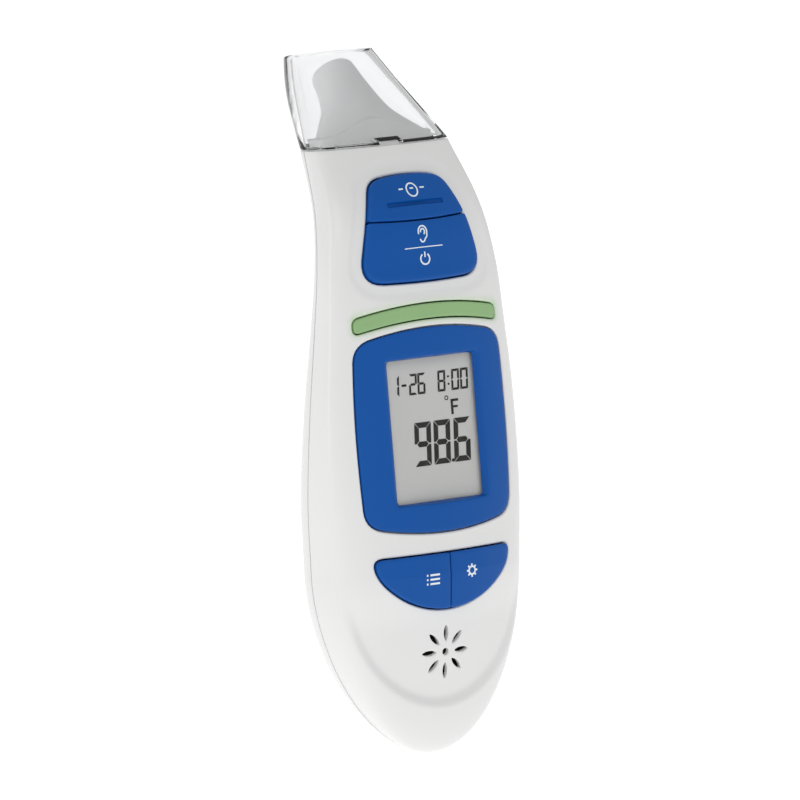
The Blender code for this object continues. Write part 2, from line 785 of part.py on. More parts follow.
def door_foot():
    """Frame at the middle of the door's lower edge: deep runs into the body, up along its back."""
    low = seam_height(DOOR_LOW)
    rise = body_section(low + 2.0)[3] - body_section(low - 2.0)[3]
    return Frame((0.0, body_section(low)[3], low), math.atan2(rise, 4.0), side=1)


def battery_door(finish):
    door = body_skin("battery_door", 1, DOOR_THICKNESS, finish)
    boolean(door, "INTERSECT", prism("door_side", door_frame(), door_outline(), 2.0, 30.0))
    foot = door_foot()
    half = HOOK_WIDTH / 2.0
    clear = DOOR_LEDGE + 2.0 * GAP
    inside = WALL + 3.0 * GAP
    shank = box("hook_shank", foot, (-half, DOOR_THICKNESS / 2.0, clear),
                (half, inside + HOOK_THICKNESS, clear + HOOK_THICKNESS + 0.8))
    tongue = box("hook_tongue", foot, (-half, inside, -HOOK_REACH),
                 (half, inside + HOOK_THICKNESS, clear + HOOK_THICKNESS))
    boolean(door, "UNION", shank)
    boolean(door, "UNION", tongue)
    return move_origin(door, foot.origin)


def screws(finish):
    for side, name in ((-1, "screw_left"), (1, "screw_right")):
        height = seam_height(SCREW_HEIGHT)
        middle = body_section(height)[2]
        seat = back_surface(SCREW_X, height) - WALL - SCREW_HEAD_HEIGHT + GAP
        frame = Frame((side * SCREW_X, seat, height), math.pi / 2.0)
        length = seat - middle + 4.0
        profile = ((0.0, SCREW_HEAD_HEIGHT), (SCREW_HEAD * 0.8, SCREW_HEAD_HEIGHT), (SCREW_HEAD, 0.9),
                   (SCREW_HEAD, 0.0), (SCREW_SHAFT, 0.0), (SCREW_SHAFT, 1.0 - length), (0.0, -length))
        turned(name, frame, profile, finish, steps=12)


# Display

def display(finishes):
    frame = display_frame()
    bezel = body_skin("display_bezel", -1, BEZEL_THICKNESS, finishes["blue"])
    boolean(bezel, "INTERSECT", prism("bezel_side", frame, bezel_outline(), -8.0, 12.0))
    opening = prism("window_recess", frame, window_outline(-4.0), -4.0, WINDOW_DEPTH + 1.5,
                    inner=window_outline(WINDOW_DEPTH + 1.5))
    boolean(bezel, "DIFFERENCE", opening)
    plate = window_outline(WINDOW_DEPTH, LCD_OVERLAP)
    seat = prism("window_seat", frame, grown(plate, GAP), WINDOW_DEPTH - GAP, WINDOW_DEPTH + 6.0)
    boolean(bezel, "DIFFERENCE", seat)
    depth = WINDOW_DEPTH
    prism("display_window", frame, plate, depth, depth + WINDOW_THICKNESS, finishes["clear"])
    depth += WINDOW_THICKNESS + GAP
    prism("lcd_panel", frame, plate, depth, depth + LCD_THICKNESS, finishes["lcd"])
    holder = prism("lcd_holder", frame, grown(plate, GAP + HOLDER_WALL), depth + HOLDER_DROP,
                   BOARD_DEPTH - GAP, finishes["white"])
    hole = prism("holder_hole", frame, grown(plate, GAP), depth - 1.0, BOARD_DEPTH + 1.0)
    boolean(holder, "DIFFERENCE", hole)
    low = min(point.y for point in plate)
    half = max(point.x for point in plate)
    depth += LCD_THICKNESS + GAP
    box("zebra_strip", frame, (-half + 1.0, depth, low + 0.5), (half - 1.0, BOARD_DEPTH - GAP, low + 2.3),
        finishes["rubber"])


def boards(finishes):
    frame = display_frame()
    half = face_half_width(DISPLAY_MIDDLE, BEZEL_MARGIN + BOARD_MARGIN)
    neck = half - 3.5
    corners = ((half, -BOARD_BELOW, 3.0, 0.0), (half, BOARD_ABOVE - 8.0, 1.5, 0.0),
               (neck, BOARD_ABOVE - 5.0, 1.0, 0.0), (neck, BOARD_ABOVE, 1.0, 0.0),
               (-neck, BOARD_ABOVE, 1.0, 0.0), (-neck, BOARD_ABOVE - 5.0, 1.0, 0.0),
               (-half, BOARD_ABOVE - 8.0, 1.5, 0.0), (-half, -BOARD_BELOW, 3.0, 0.0))
    prism("main_pcb", frame, outline(corners), BOARD_DEPTH, BOARD_DEPTH + BOARD_THICKNESS,
          finishes["board"])
    back = BOARD_DEPTH + BOARD_THICKNESS + GAP
    box("mcu_chip", frame, (-5.0, back, 9.0), (5.0, back + 1.2, 19.0), finishes["black"])
    bar = seam_height(BAR_MIDDLE)
    up = (bar - frame.origin.z) / math.cos(face_tilt(frame))
    for side, name in ((-1, "led_left"), (1, "led_right")):
        x = side * neck * 0.6
        box(name, frame, (x - 1.4, BOARD_DEPTH - GAP - 1.0, up - 0.9), (x + 1.4, BOARD_DEPTH - GAP, up + 0.7),
            finishes["led"])
    keys = keys_frame()
    reach = keys_reach()
    low = -reach + 0.5
    board = outline(((11.5, low, 1.0, 0.0), (8.0, reach - 3.0, 1.0, 0.0),
                     (-8.0, reach - 3.0, 1.0, 0.0), (-11.5, low, 1.0, 0.0)))
    prism("button_pcb", keys, board, BOARD_DEPTH, BOARD_DEPTH + BOARD_THICKNESS, finishes["board"])
    start = frame.point(0.0, BOARD_DEPTH + BOARD_THICKNESS + 1.0, BOARD_ABOVE - 2.0)
    end = keys.point(0.0, BOARD_DEPTH + BOARD_THICKNESS + 1.0, low + 3.0)
    bend = (start + end) / 2.0 + Vector((0.0, 1.2, 0.0))
    wire("board_cable", smooth_route((start, bend, end)), 0.5, finishes["cable"])


def face_tilt(frame):
    return math.asin(-frame.inward.z)


def bar_frame():
    middle = seam_height(BAR_MIDDLE)
    return face_frame(middle - BAR_HEIGHT, middle + BAR_HEIGHT)


def light_bar(finish):
    bar = body_skin("light_bar", -1, WALL, finish)
    boolean(bar, "INTERSECT", prism("bar_side", bar_frame(), bar_outline(), -6.0, 9.0))


# Keys and their switches

def switch(name, frame, board, x, up, finish):
    """Small push switch on a board: a square body with a round plunger towards the key."""
    half = SWITCH_SIDE / 2.0
    bottom = board - GAP
    body = box(name, frame, (x - half, bottom - SWITCH_HEIGHT, up - half), (x + half, bottom, up + half), finish)
    plunger = cylinder(f"{name}_plunger", frame, x, up, 1.2, bottom - SWITCH_HEIGHT - SWITCH_PLUNGER,
                       bottom - 1.0, segments=10)
    boolean(body, "UNION", plunger)


def key(name, frame, board, points, flange_points, stem, keep, finish):
    """Captive key: its cap follows the body, a flange behind the wall holds it, a stem meets a switch.

    board is the depth of the board's front, and keep is the room that the key's own share
    of the shared outline lies in.
    """
    cap = body_skin(name, -1, KEY_THICKNESS + KEY_RISE, finish, grow=KEY_RISE)
    boolean(cap, "INTERSECT", prism(f"{name}_side", frame, points, -8.0, 12.0))
    flange = body_skin(f"{name}_flange", -1, KEY_FLANGE_THICKNESS, grow=-(WALL + 2.0 * GAP))
    boolean(flange, "INTERSECT", prism(f"{name}_flange_side", frame, flange_points, -8.0, 12.0))
    boolean(cap, "UNION", flange)
    boolean(cap, "INTERSECT", keep)
    x, up = stem
    end = board - GAP - SWITCH_HEIGHT - SWITCH_PLUNGER - GAP - KEY_TRAVEL
    rod = cylinder(f"{name}_stem", frame, x, up, STEM_RADIUS, WALL / 2.0, end, segments=10)
    boolean(cap, "UNION", rod)
    return move_origin(cap, frame.point(x, 0.0, up))


def head_and_ear_keys(finishes):
    frame = keys_frame()
    reach = keys_reach()
    height = seam_height(KEYS_SPLIT)
    place = frame.matrix.inverted() @ (Vector((0.0, body_section(height)[1], height)) * MM)
    split = place.z / MM
    wide = face_half_width(KEYS_LOW, 0.0)
    sag = wide * wide / (2.0 * KEYS_SPLIT_RADIUS)
    far = BODY_DEPTH
    for name, side in (("head_button", 1), ("ear_button", -1)):
        edge = split + sag + side * GAP / 2.0
        corners = ((-side * wide, edge, 0.0, side * sag), (side * wide, edge, 0.0, 0.0),
                   (side * wide, edge + side * far, 0.0, 0.0), (-side * wide, edge + side * far, 0.0, 0.0))
        keep = prism(f"{name}_keep", frame, outline(corners, edge_steps=14, corner_steps=1), -9.0, 14.0)
        up = (split + side * reach) / 2.0
        key(name, frame, BOARD_DEPTH, keys_outline(), keys_outline(KEY_FLANGE), (0.0, up), keep,
            finishes["blue"])
        switch(name.replace("button", "switch"), frame, BOARD_DEPTH, 0.0, up, finishes["switch"])


def mem_and_set_keys(finishes):
    frame = mem_frame()
    board = BOARD_DEPTH + (display_frame().origin - frame.origin).dot(frame.inward)
    half = face_half_width(MEM_TOP - 3.0, MEM_MARGIN) * 0.4
    for name, side in (("mem_button", -1), ("set_button", 1)):
        low, high = sorted((side * GAP / 2.0, side * BODY_WIDTH))
        keep = box(f"{name}_keep", frame, (low, -9.0, -30.0), (high, 14.0, 30.0))
        key(name, frame, board, mem_outline(), mem_outline(KEY_FLANGE), (side * half, 1.0), keep,
            finishes["blue"])
        switch(name.replace("button", "switch"), frame, board, side * half, 1.0, finishes["switch"])


# Sound

def speaker(finishes):
    frame = speaker_frame()
    gasket = cylinder("speaker_gasket", frame, 0.0, 0.0, SPEAKER_RADIUS, SPEAKER_DEPTH - GAP - GASKET_THICKNESS,
                      SPEAKER_DEPTH - GAP, finishes["rubber"], segments=24)
    hole = cylinder("gasket_hole", frame, 0.0, 0.0, SPEAKER_RADIUS - 1.0, 0.0, 9.0, segments=24)
    boolean(gasket, "DIFFERENCE", hole)
    cylinder("speaker", frame, 0.0, 0.0, SPEAKER_RADIUS, SPEAKER_DEPTH, SPEAKER_DEPTH + SPEAKER_THICKNESS,
             finishes["black"], segments=24)


# Power

def batteries(finishes):
    frame = bay_frame()
    floor = CELL_RADIUS + 2.0 * GAP
    half = CELL_SPACING / 2.0 + CELL_RADIUS + 2.0 * GAP
    reach = BAY_LENGTH / 2.0
    tray = box("battery_tray", frame, (-half - TRAY_WALL, -floor - TRAY_WALL, -reach - TRAY_WALL),
               (half + TRAY_WALL, CELL_RADIUS * 0.6, reach + TRAY_WALL), finishes["white"])
    pocket = box("tray_pocket", frame, (-half, -floor, -reach), (half, CELL_RADIUS * 3.0, reach))
    boolean(tray, "DIFFERENCE", pocket)
    travel = BAY_LENGTH / 2.0 - CELL_LENGTH / 2.0 - CONTACT_THICKNESS - 3.0 * GAP
    for side, name in ((-1, "cell_left"), (1, "cell_right")):
        middle = -side * travel
        top = CELL_LENGTH / 2.0
        profile = ((0.0, top), (2.6, top), (2.6, top - 1.0), (CELL_RADIUS - 0.5, top - 1.0),
                   (CELL_RADIUS, top - 1.5), (CELL_RADIUS, 0.4 - top), (CELL_RADIUS - 0.4, -top), (0.0, -top))
        place = frame.point(side * CELL_SPACING / 2.0, 0.0, middle)
        cell = turned(name, Frame(place, 0.0), profile, finishes["cell"], steps=18)
        if side > 0:
            cell.matrix_world = cell.matrix_world @ Matrix.Rotation(math.pi, 4, "X")
    top = reach - GAP
    inner = top - CONTACT_THICKNESS
    edge = CELL_RADIUS - 1.0
    left, right = -CELL_SPACING / 2.0, CELL_SPACING / 2.0
    box("contact_positive", frame, (left - edge, -edge, inner), (left + edge, edge, top), finishes["steel"])
    box("contact_negative", frame, (right - edge, -edge, inner), (right + edge, edge, top), finishes["steel"])
    box("contact_link", frame, (left - edge, -edge, -top), (right + edge, edge, -inner), finishes["steel"])
    springs = (("spring_negative", right, inner - GAP, -1), ("spring_link", left, GAP - inner, 1))
    for name, x, start, direction in springs:
        points = []
        count = SPRING_TURNS * 8
        length = SPRING_LENGTH - 2.0 * SPRING_WIRE
        for index in range(count + 1):
            share = index / count
            angle = 2.0 * math.pi * SPRING_TURNS * share
            radius = 3.6 - 2.0 * share
            up = start + direction * (SPRING_WIRE + length * share)
            points.append(frame.point(x + radius * math.cos(angle), radius * math.sin(angle), up))
        wire(name, points, SPRING_WIRE, finishes["steel"])
    board = display_frame()
    for name, x in (("lead_red", left), ("lead_black", right)):
        start = frame.point(x, -1.0, reach + TRAY_WALL + GAP + 0.3)
        end = board.point(x * 1.25, BOARD_DEPTH + BOARD_THICKNESS + GAP + 0.5, 8.0)
        bend = Vector((x * 1.2, start.y - 1.0, (start.z + end.z) / 2.0 + 1.5))
        wire(name, smooth_route((start, bend, end), 3), 0.45, finishes[name])


# Probe

def ring_at(middle, tilt, half_width, half_depth, steps=ARC_STEPS * 2):
    """Ellipse of points round a centre (back, height), leaning back by a tilt."""
    points = []
    for step in range(steps):
        angle = 2.0 * math.pi * step / steps
        across, out = half_width * math.cos(angle), -half_depth * math.sin(angle)
        points.append(Vector((across, middle[0] + out * math.cos(tilt),
                              middle[1] - out * math.sin(tilt))) * MM)
    return points


def probe_axis(distance):
    """Back and height of the point at a distance below the probe's tip, along its axis."""
    lean = math.radians(TIP_LEAN)
    return (TIP_BACK - distance * math.sin(lean), seam_height(TIP_HEIGHT) - distance * math.cos(lean))


def probe_frame(distance):
    back, height = probe_axis(distance)
    return Frame((0.0, back, height), math.radians(TIP_LEAN))


def clear_of_slide(section, free):
    """The section with its back kept out of the way of the cap's edge as the cap slides off."""
    half, front, middle, back, lean = section
    return half, front, middle, min(back, free), lean


def probe_nose(finish):
    """Collar that sits inside the seam, a shoulder, and the hollow cone that leans back."""
    inset = -(WALL + NOSE_GAP)
    low = seam_height(-COLLAR_DEPTH)
    high = seam_height(CAP_HEIGHT * COLLAR_SHARE)
    cap_inset = -(CAP_WALL + NOSE_GAP)
    free = body_section(SEAM_HEIGHT, inset)[3] + (high - SEAM_HEIGHT) * math.tan(math.radians(CAP_LEAN))
    outer = [
        full_ring(body_section(low, inset), low, FRONT_FULLNESS),
        full_ring(body_section(SEAM_HEIGHT, inset), SEAM_HEIGHT, FRONT_FULLNESS),
        full_ring(clear_of_slide(cap_section(COLLAR_SHARE, cap_inset), free), high,
                  cap_fullness(COLLAR_SHARE)),
    ]
    inner = [
        full_ring(body_section(low, inset - NOSE_WALL), low, FRONT_FULLNESS),
        full_ring(body_section(SEAM_HEIGHT, inset - NOSE_WALL), SEAM_HEIGHT, FRONT_FULLNESS),
        full_ring(clear_of_slide(cap_section(COLLAR_SHARE - NOSE_WALL / CAP_HEIGHT, cap_inset - NOSE_WALL),
                                 free - 2.0 * NOSE_WALL), high - NOSE_WALL, cap_fullness(COLLAR_SHARE)),
    ]
    lean = math.radians(TIP_LEAN)
    for distance, width, depth, tilt in CONE_RINGS:
        middle = probe_axis(distance)
        outer.append(ring_at(middle, lean * tilt, width, depth))
        middle = probe_axis(distance + NOSE_WALL * (1.0 - tilt))
        inner.append(ring_at(middle, lean * tilt, width - NOSE_WALL, depth - NOSE_WALL))
    outer.append(ring_at(probe_axis(0.6), lean, TIP_RADIUS, TIP_RADIUS))
    outer.append(ring_at(probe_axis(0.0), lean, TIP_RADIUS - 0.6, TIP_RADIUS - 0.6))
    inner.append(ring_at(probe_axis(2.0), lean, TIP_BORE, TIP_BORE))
    inner.append(ring_at(probe_axis(0.0), lean, TIP_BORE, TIP_BORE))
    bm = loft(outer + inner[::-1], close_rows=True)
    bmesh.ops.recalc_face_normals(bm, faces=bm.faces)
    finish_mesh("probe_nose", bm, finish)


def sensor(finishes):
    cylinder_up("probe_window", 0.9, 0.4, TIP_BORE - GAP, finishes["clear"])
    tube_up("waveguide_tube", 6.0, 1.2, TIP_BORE - 0.8, TIP_BORE - 1.4, finishes["gold"])
    tube_up("sensor_block", 8.6, 6.3, TIP_BORE - 0.1, 2.65, finishes["aluminium"])
    cylinder_up("thermopile", 8.8, 6.3, 2.35, finishes["steel"])
    start = probe_frame(9.9)
    end = keys_frame().point(0.0, BOARD_DEPTH + BOARD_THICKNESS + 1.6, keys_reach() - 6.0)
    route = (start.origin, probe_frame(13.0).origin, Vector((0.0, 12.0, seam_height(-1.5))),
             Vector((0.0, 8.0, seam_height(-5.5))), end)
    wire("sensor_leads", smooth_route(route), 0.55, finishes["cable"])


def cylinder_up(name, low, high, radius, finish):
    """Round piece along the probe axis between two distances below the tip."""
    profile = ((0.0, low - high), (radius, low - high), (radius, 0.0), (0.0, 0.0))
    turned(name, probe_frame(low), profile, finish, steps=16)


def tube_up(name, low, high, radius, bore, finish):
    profile = ((radius, low - high), (radius, 0.0), (bore, 0.0), (bore, low - high))
    turned(name, probe_frame(low), profile, finish, steps=16)


def probe_cap(finish):
    steps = 7
    outer, inner = [], []
    start = seam_height(GAP)
    for step in range(steps + 1):
        share = step / steps
        height = start + (CAP_HEIGHT - GAP) * share
        outer.append(full_ring(cap_section(share), height, cap_fullness(share)))
        inner.append(full_ring(cap_section(share, -CAP_WALL), height, cap_fullness(share)))
    bm = loft(outer + inner[::-1], close_rows=True)
    bmesh.ops.recalc_face_normals(bm, faces=bm.faces)
    cap = finish_mesh("probe_cap", bm, finish)
    seat = body_section(SEAM_HEIGHT)
    return move_origin(cap, (0.0, (seat[1] + seat[3]) / 2.0, SEAM_HEIGHT))


def main():
    clear_scene()
    finishes = {
        "white": material("white_plastic", (0.86, 0.87, 0.87), 0.25),
        "blue": material("blue_plastic", (0.004, 0.10, 0.40), 0.3),
        "green": material("green_light_guide", (0.24, 0.40, 0.18), 0.35),
        "clear": material("clear_plastic", (0.93, 0.95, 0.96), 0.05, alpha=0.3),
        "lcd": material("lcd_glass", (0.48, 0.48, 0.47), 0.2),
        "rubber": material("soft_rubber", (0.05, 0.05, 0.05), 0.8),
        "board": material("circuit_board", (0.02, 0.20, 0.08), 0.4),
        "black": material("black_plastic", (0.02, 0.02, 0.02), 0.4),
        "led": material("led_resin", (0.75, 0.85, 0.70), 0.3),
        "cable": material("cable_grey", (0.35, 0.35, 0.36), 0.5),
        "switch": material("switch_body", (0.12, 0.12, 0.12), 0.4),
        "cell": material("cell_jacket", (0.16, 0.17, 0.18), 0.35),
        "steel": material("plated_steel", (0.62, 0.62, 0.60), 0.3, 1.0),
        "aluminium": material("machined_aluminium", (0.70, 0.71, 0.72), 0.35, 1.0),
        "gold": material("gold_plate", (0.90, 0.66, 0.28), 0.2, 1.0),
        "lead_red": material("red_lead", (0.55, 0.03, 0.02), 0.5),
        "lead_black": material("black_lead", (0.03, 0.03, 0.03), 0.5),
    }
    front_shell(finishes["white"])
    rear_shell(finishes["white"])
    battery_door(finishes["white"])
    screws(finishes["steel"])
    display(finishes)
    boards(finishes)
    light_bar(finishes["green"])
    head_and_ear_keys(finishes)
    mem_and_set_keys(finishes)
    speaker(finishes)
    batteries(finishes)
    probe_nose(finishes["white"])
    sensor(finishes)
    probe_cap(finishes["clear"])


main()
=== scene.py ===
"""Looks of the ear and forehead thermometer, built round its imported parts.

Sizes are in millimetres and become metres where a mesh is placed. +Z runs up the body and
the display faces -Y. Down the face, a frame gives local places: x across, up along the face
and deep into the body.
"""
import functools
import math

import bmesh
import bpy
from mathutils import Matrix, Vector


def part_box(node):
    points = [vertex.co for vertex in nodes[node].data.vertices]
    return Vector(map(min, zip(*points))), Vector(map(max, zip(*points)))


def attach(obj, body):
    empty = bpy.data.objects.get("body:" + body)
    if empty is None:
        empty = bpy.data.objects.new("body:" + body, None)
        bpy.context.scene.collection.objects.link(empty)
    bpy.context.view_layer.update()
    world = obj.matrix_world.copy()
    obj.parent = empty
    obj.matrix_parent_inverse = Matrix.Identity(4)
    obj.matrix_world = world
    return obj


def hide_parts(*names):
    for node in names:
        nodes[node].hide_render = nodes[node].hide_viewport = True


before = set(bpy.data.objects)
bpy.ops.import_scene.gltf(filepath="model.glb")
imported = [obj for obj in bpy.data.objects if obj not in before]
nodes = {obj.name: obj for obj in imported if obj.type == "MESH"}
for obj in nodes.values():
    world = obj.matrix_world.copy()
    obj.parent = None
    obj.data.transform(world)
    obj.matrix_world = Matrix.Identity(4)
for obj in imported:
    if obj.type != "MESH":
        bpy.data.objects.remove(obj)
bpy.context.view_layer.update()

MM = 0.001
GAP = 0.3

# Body
BODY_LENGTH = 129.5
BODY_WIDTH = 50.0
BODY_DEPTH = 33.2
SEAM_HEIGHT = 54.0
SEAM_TILT = 6.0
NECK_START = 0.907
FRONT_FULLNESS = 7.3
BACK_FULLNESS = 1.9
FACE_CROWN = 0.31
WALL = 2.4
# Share of the length above the chin, half width, then front, parting line and back
STATIONS = (
    (0.313, 0.972, -0.530, -0.012, 0.452),
    (0.436, 1.000, -0.476, -0.009, 0.464),
    (0.583, 0.980, -0.389, -0.015, 0.410),
    (0.714, 0.920, -0.319, 0.000, 0.334),
    (0.815, 0.872, -0.244, 0.024, 0.289),
    (0.907, 0.792, -0.154, 0.136, 0.370),
    (1.000, 0.700, 0.120, 0.361, 0.642),
)
CHIN_TIP = -0.313
CHIN_POWERS = (1.94, 2.57, 1.3, 1.87)
SHELL_COLUMNS = 96            # squares round one half of the body
CHIN_ROWS = 76
BODY_ROWS = 112
EDGE_ROUNDING = 0.3           # on the shells' parting line and seam

# Relief of the face
BED_WIDTH = 3.4               # shallow bed round the head and ear keys
BED_SLOPE = 0.8
BED_DEPTH = 0.4
DISH_MIDDLE = -36.0           # the dish round the speaker: two ellipses, in body heights
DISH_INNER = (21.5, 26.2)
DISH_OUTER = (24.2, 28.9)
DISH_DEPTH = 1.25
DISH_FADE = (-36.0, -47.0)

# Clear cap and nose
CAP_WALL = 1.5
CAP_HEIGHT = 18.0
CAP_RIM_WIDTH = 19.8
CAP_RIM_FRONT = 21.6
CAP_RIM_MIDDLE = 28.1
CAP_RIM_BACK = 38.2
CAP_RIM_TILT = 10.5
CAP_BACK_BULGE = 3.7
CAP_FULLNESS = 3.9
CAP_LEAN = 46.5
NOSE_WALL = 1.4
NOSE_GAP = 0.6
COLLAR_DEPTH = 4.5
TIP_BACK = 27.4
TIP_HEIGHT = 14.0
TIP_RADIUS = 4.7
TIP_LEAN = 48.0
TIP_BORE = 3.3
CONE_RINGS = (
    (13.0, 8.8, 5.0, 0.35),
    (10.5, 7.2, 4.8, 0.62),
    (6.0, 5.6, 4.75, 0.95),
)
LATCH_WIDTH = 5.6

# Face pieces; heights are from the seam
DISPLAY_MIDDLE = -58.2
BEZEL_HEIGHT = 38.8
BEZEL_MARGIN = 5.4
BEZEL_CROWN = 2.5
BEZEL_SIDE_BULGE = 0.7
BEZEL_CORNER = 3.6
BEZEL_THICKNESS = 1.4
BEZEL_LEDGE = 2.2
FRAME_SIDE = 6.1
FRAME_TOP = 3.5
FRAME_BOTTOM = 3.6
WINDOW_SIDE_DRAFT = 1.1
WINDOW_END_DRAFT = 0.25
WINDOW_DEPTH = 1.9
LCD_DEPTH = 2.7
INK_TOP = LCD_DEPTH - 0.03
INK_FOOT = LCD_DEPTH + 0.05
BAR_MIDDLE = -34.0
BAR_HEIGHT = 3.1
BAR_MARGIN = 4.4
BAR_ARCH = 1.9
KEYS_LOW = -26.6
KEYS_HIGH = -4.9
KEYS_TOP_WIDTH = 18.0
KEYS_BOTTOM_MARGIN = 6.7
KEYS_SPLIT = -14.05
KEYS_SPLIT_RADIUS = 106.0
MEM_TOP = -84.5
MEM_HEIGHT = 12.0
MEM_MARGIN = 6.8
MEM_TIP = 3.8
KEY_RISE = 0.5
KEY_LIP = 0.35                # rounding of a key's edge
KEY_DEPTH = 3.2
SPEAKER_HEIGHT = -106.5
PETAL_COUNT = 8
PETAL_INNER = 2.4
PETAL_OUTER = 5.9
PETAL_WIDTH = 1.15
CENTRE_HOLE = 0.8
PRINT_RISE = 0.03

# Back
DOOR_WIDTH = 30.0
DOOR_LOW = -108.5
DOOR_HIGH = -54.5
DOOR_THICKNESS = 1.5
DOOR_LEDGE = 1.6
DOOR_CORNER = 3.0
HOOK_X = 2.4
HOOK_WIDTH = 2.6
SCREW_X = 11.5
SCREW_HEIGHT = -114.0
SCREW_HEAD = 2.2


# The body's surface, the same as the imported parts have

def height_at(share):
    return SEAM_HEIGHT - (1.0 - share) * BODY_LENGTH


def cubic_through(column, share):
    """One column of the station table at a share of the length, by a cubic through the stations."""
    last = len(STATIONS) - 1
    slopes = []
    for index in range(last + 1):
        low, high = STATIONS[max(index - 1, 0)], STATIONS[min(index + 1, last)]
        slopes.append((high[column] - low[column]) / (high[0] - low[0]))
    if share > STATIONS[last][0]:
        return STATIONS[last][column] + slopes[last] * (share - STATIONS[last][0])
    index = 0
    while index < last - 1 and share > STATIONS[index + 1][0]:
        index += 1
    start, end = STATIONS[index], STATIONS[index + 1]
    span = end[0] - start[0]
    t = (share - start[0]) / span
    blend = t * t * (3.0 - 2.0 * t)
    value = start[column] * (1.0 - blend) + end[column] * blend
    value += span * (t * (1.0 - t) ** 2 * slopes[index] - t * t * (1.0 - t) * slopes[index + 1])
    return value


def slant(slope):
    return math.hypot(1.0, slope)


@functools.lru_cache(maxsize=20000)
def body_section(height, grow=0.0):
    """Half width, front, parting line, back and lean of the section at a height."""
    half, depth = BODY_WIDTH / 2.0, BODY_DEPTH
    share = 1.0 - (SEAM_HEIGHT - height) / BODY_LENGTH
    first = STATIONS[0]
    if share >= first[0]:
        width, front, middle, back = [cubic_through(column, share) for column in range(1, 5)]
        step = 0.01
        slopes = [(cubic_through(column, share + step) - cubic_through(column, share)) / (step * BODY_LENGTH)
                  for column in range(1, 5)]
        lean = SEAM_TILT * max(0.0, (share - NECK_START) / (1.0 - NECK_START))
        return (width * half + grow * slant(slopes[0] * half),
                front * depth - grow * slant(slopes[1] * depth), middle * depth,
                back * depth + grow * slant(slopes[3] * depth), math.radians(lean))
    drop = (height_at(first[0]) - height) / (first[0] * BODY_LENGTH + grow)
    closing = [max(0.0, 1.0 - drop ** power) ** (1.0 / power) for power in CHIN_POWERS]
    tip = CHIN_TIP * depth
    return ((first[1] * half + grow) * closing[0],
            tip + (first[2] * depth - grow - tip) * closing[1],
            tip + (first[3] * depth - tip) * closing[2],
            tip + (first[4] * depth + grow - tip) * closing[3], 0.0)


def cap_fullness(share):
    return FRONT_FULLNESS + (CAP_FULLNESS - FRONT_FULLNESS) * min(1.0, 1.5 * share)


def cap_section(share, grow=0.0):
    """The same values for the clear cap, from the seam at 0 to its rim at 1."""
    half, front, middle, back, lean = body_section(SEAM_HEIGHT)
    rise = [CAP_RIM_WIDTH / 2.0 - half, CAP_RIM_FRONT - front, CAP_RIM_MIDDLE - middle, CAP_RIM_BACK - back]
    bulge = CAP_BACK_BULGE * 4.0 * share * (1.0 - share)
    return (half + rise[0] * share + grow * slant(rise[0] / CAP_HEIGHT),
            front + rise[1] * share - grow * slant(rise[1] / CAP_HEIGHT),
            middle + rise[2] * share,
            back + rise[3] * share + bulge + grow * slant(rise[3] / CAP_HEIGHT),
            lean + (math.radians(CAP_RIM_TILT) - lean) * share)


def rise_share(share, side, fullness):
    """The section's rise above the parting line at a share of its half width, from 0 to 1."""
    if share > 0.9999:
        return 0.0
    rise = (1.0 - share ** fullness) ** (1.0 / fullness)
    if side > 0:
        return rise
    return (1.0 - FACE_CROWN) * rise + FACE_CROWN * (1.0 - share * share)


def half_ring(section, height, side, fullness, steps):
    """Points from +X to -X round the front (side -1) or the back (side 1) of a section."""
    half, front, middle, back, lean = section
    reach = middle - front if side < 0 else back - middle
    points = []
    for step in range(steps + 1):
        share = math.cos(math.pi * step / steps)
        out = side * reach * rise_share(abs(share), side, fullness)
        points.append(Vector((half * share, middle + out * math.cos(lean), height - out * math.sin(lean))))
    return points


def full_ring(section, height, front_fullness, steps=64):
    front = half_ring(section, height, -1, front_fullness, steps)
    back = half_ring(section, height, 1, BACK_FULLNESS, steps)
    return front[:-1] + back[::-1][:-1]


def smooth(low, high, value):
    t = min(1.0, max(0.0, (value - low) / (high - low)))
    return t * t * (3.0 - 2.0 * t)


def surface_back(x, height, grow, side):
    """How far back the surface is at a place across the body and a height."""
    fullness = FRONT_FULLNESS if side < 0 else BACK_FULLNESS
    level = height
    for _ in range(4):
        half, front, middle, back, lean = body_section(round(level, 4), grow)
        reach = middle - front if side < 0 else back - middle
        out = side * reach * rise_share(min(1.0, abs(x) / half), side, fullness)
        if lean == 0.0:
            break
        level = height + out * math.sin(lean)
    return middle + out * math.cos(lean)


# Frames on the face and outlines

class Place:
    """A place on the body: local x across, local y into the body and local z up the face."""

    def __init__(self, origin, tilt, side=-1):
        turn = Matrix.Rotation(-tilt, 4, "X")
        if side > 0:
            turn = turn @ Matrix.Rotation(math.pi, 4, "Z")
        self.matrix = Matrix.Translation(Vector(origin)) @ turn
        self.origin = Vector(origin)
        self.inward = (turn @ Vector((0.0, 1.0, 0.0))).normalized()
        self.tilt = tilt

    def point(self, x, deep, up):
        return self.matrix @ Vector((x, deep, up))

    def local(self, point):
        return self.matrix.inverted() @ Vector(point)


def drop(place, x, up, grow=0.0, side=-1):
    """Point where a place's line at (x, up) meets the body's surface, moved out by grow."""
    deep = 0.0
    for _ in range(6):
        point = place.point(x, deep, up)
        deep += (surface_back(point.x, point.z, grow, side) - point.y) / place.inward.y
    return place.point(x, deep, up)


def face_place(low, high):
    front_low, front_high = body_section(low)[1], body_section(high)[1]
    tilt = math.atan2(front_high - front_low, high - low)
    return Place((0.0, (front_low + front_high) / 2.0, (low + high) / 2.0), tilt)


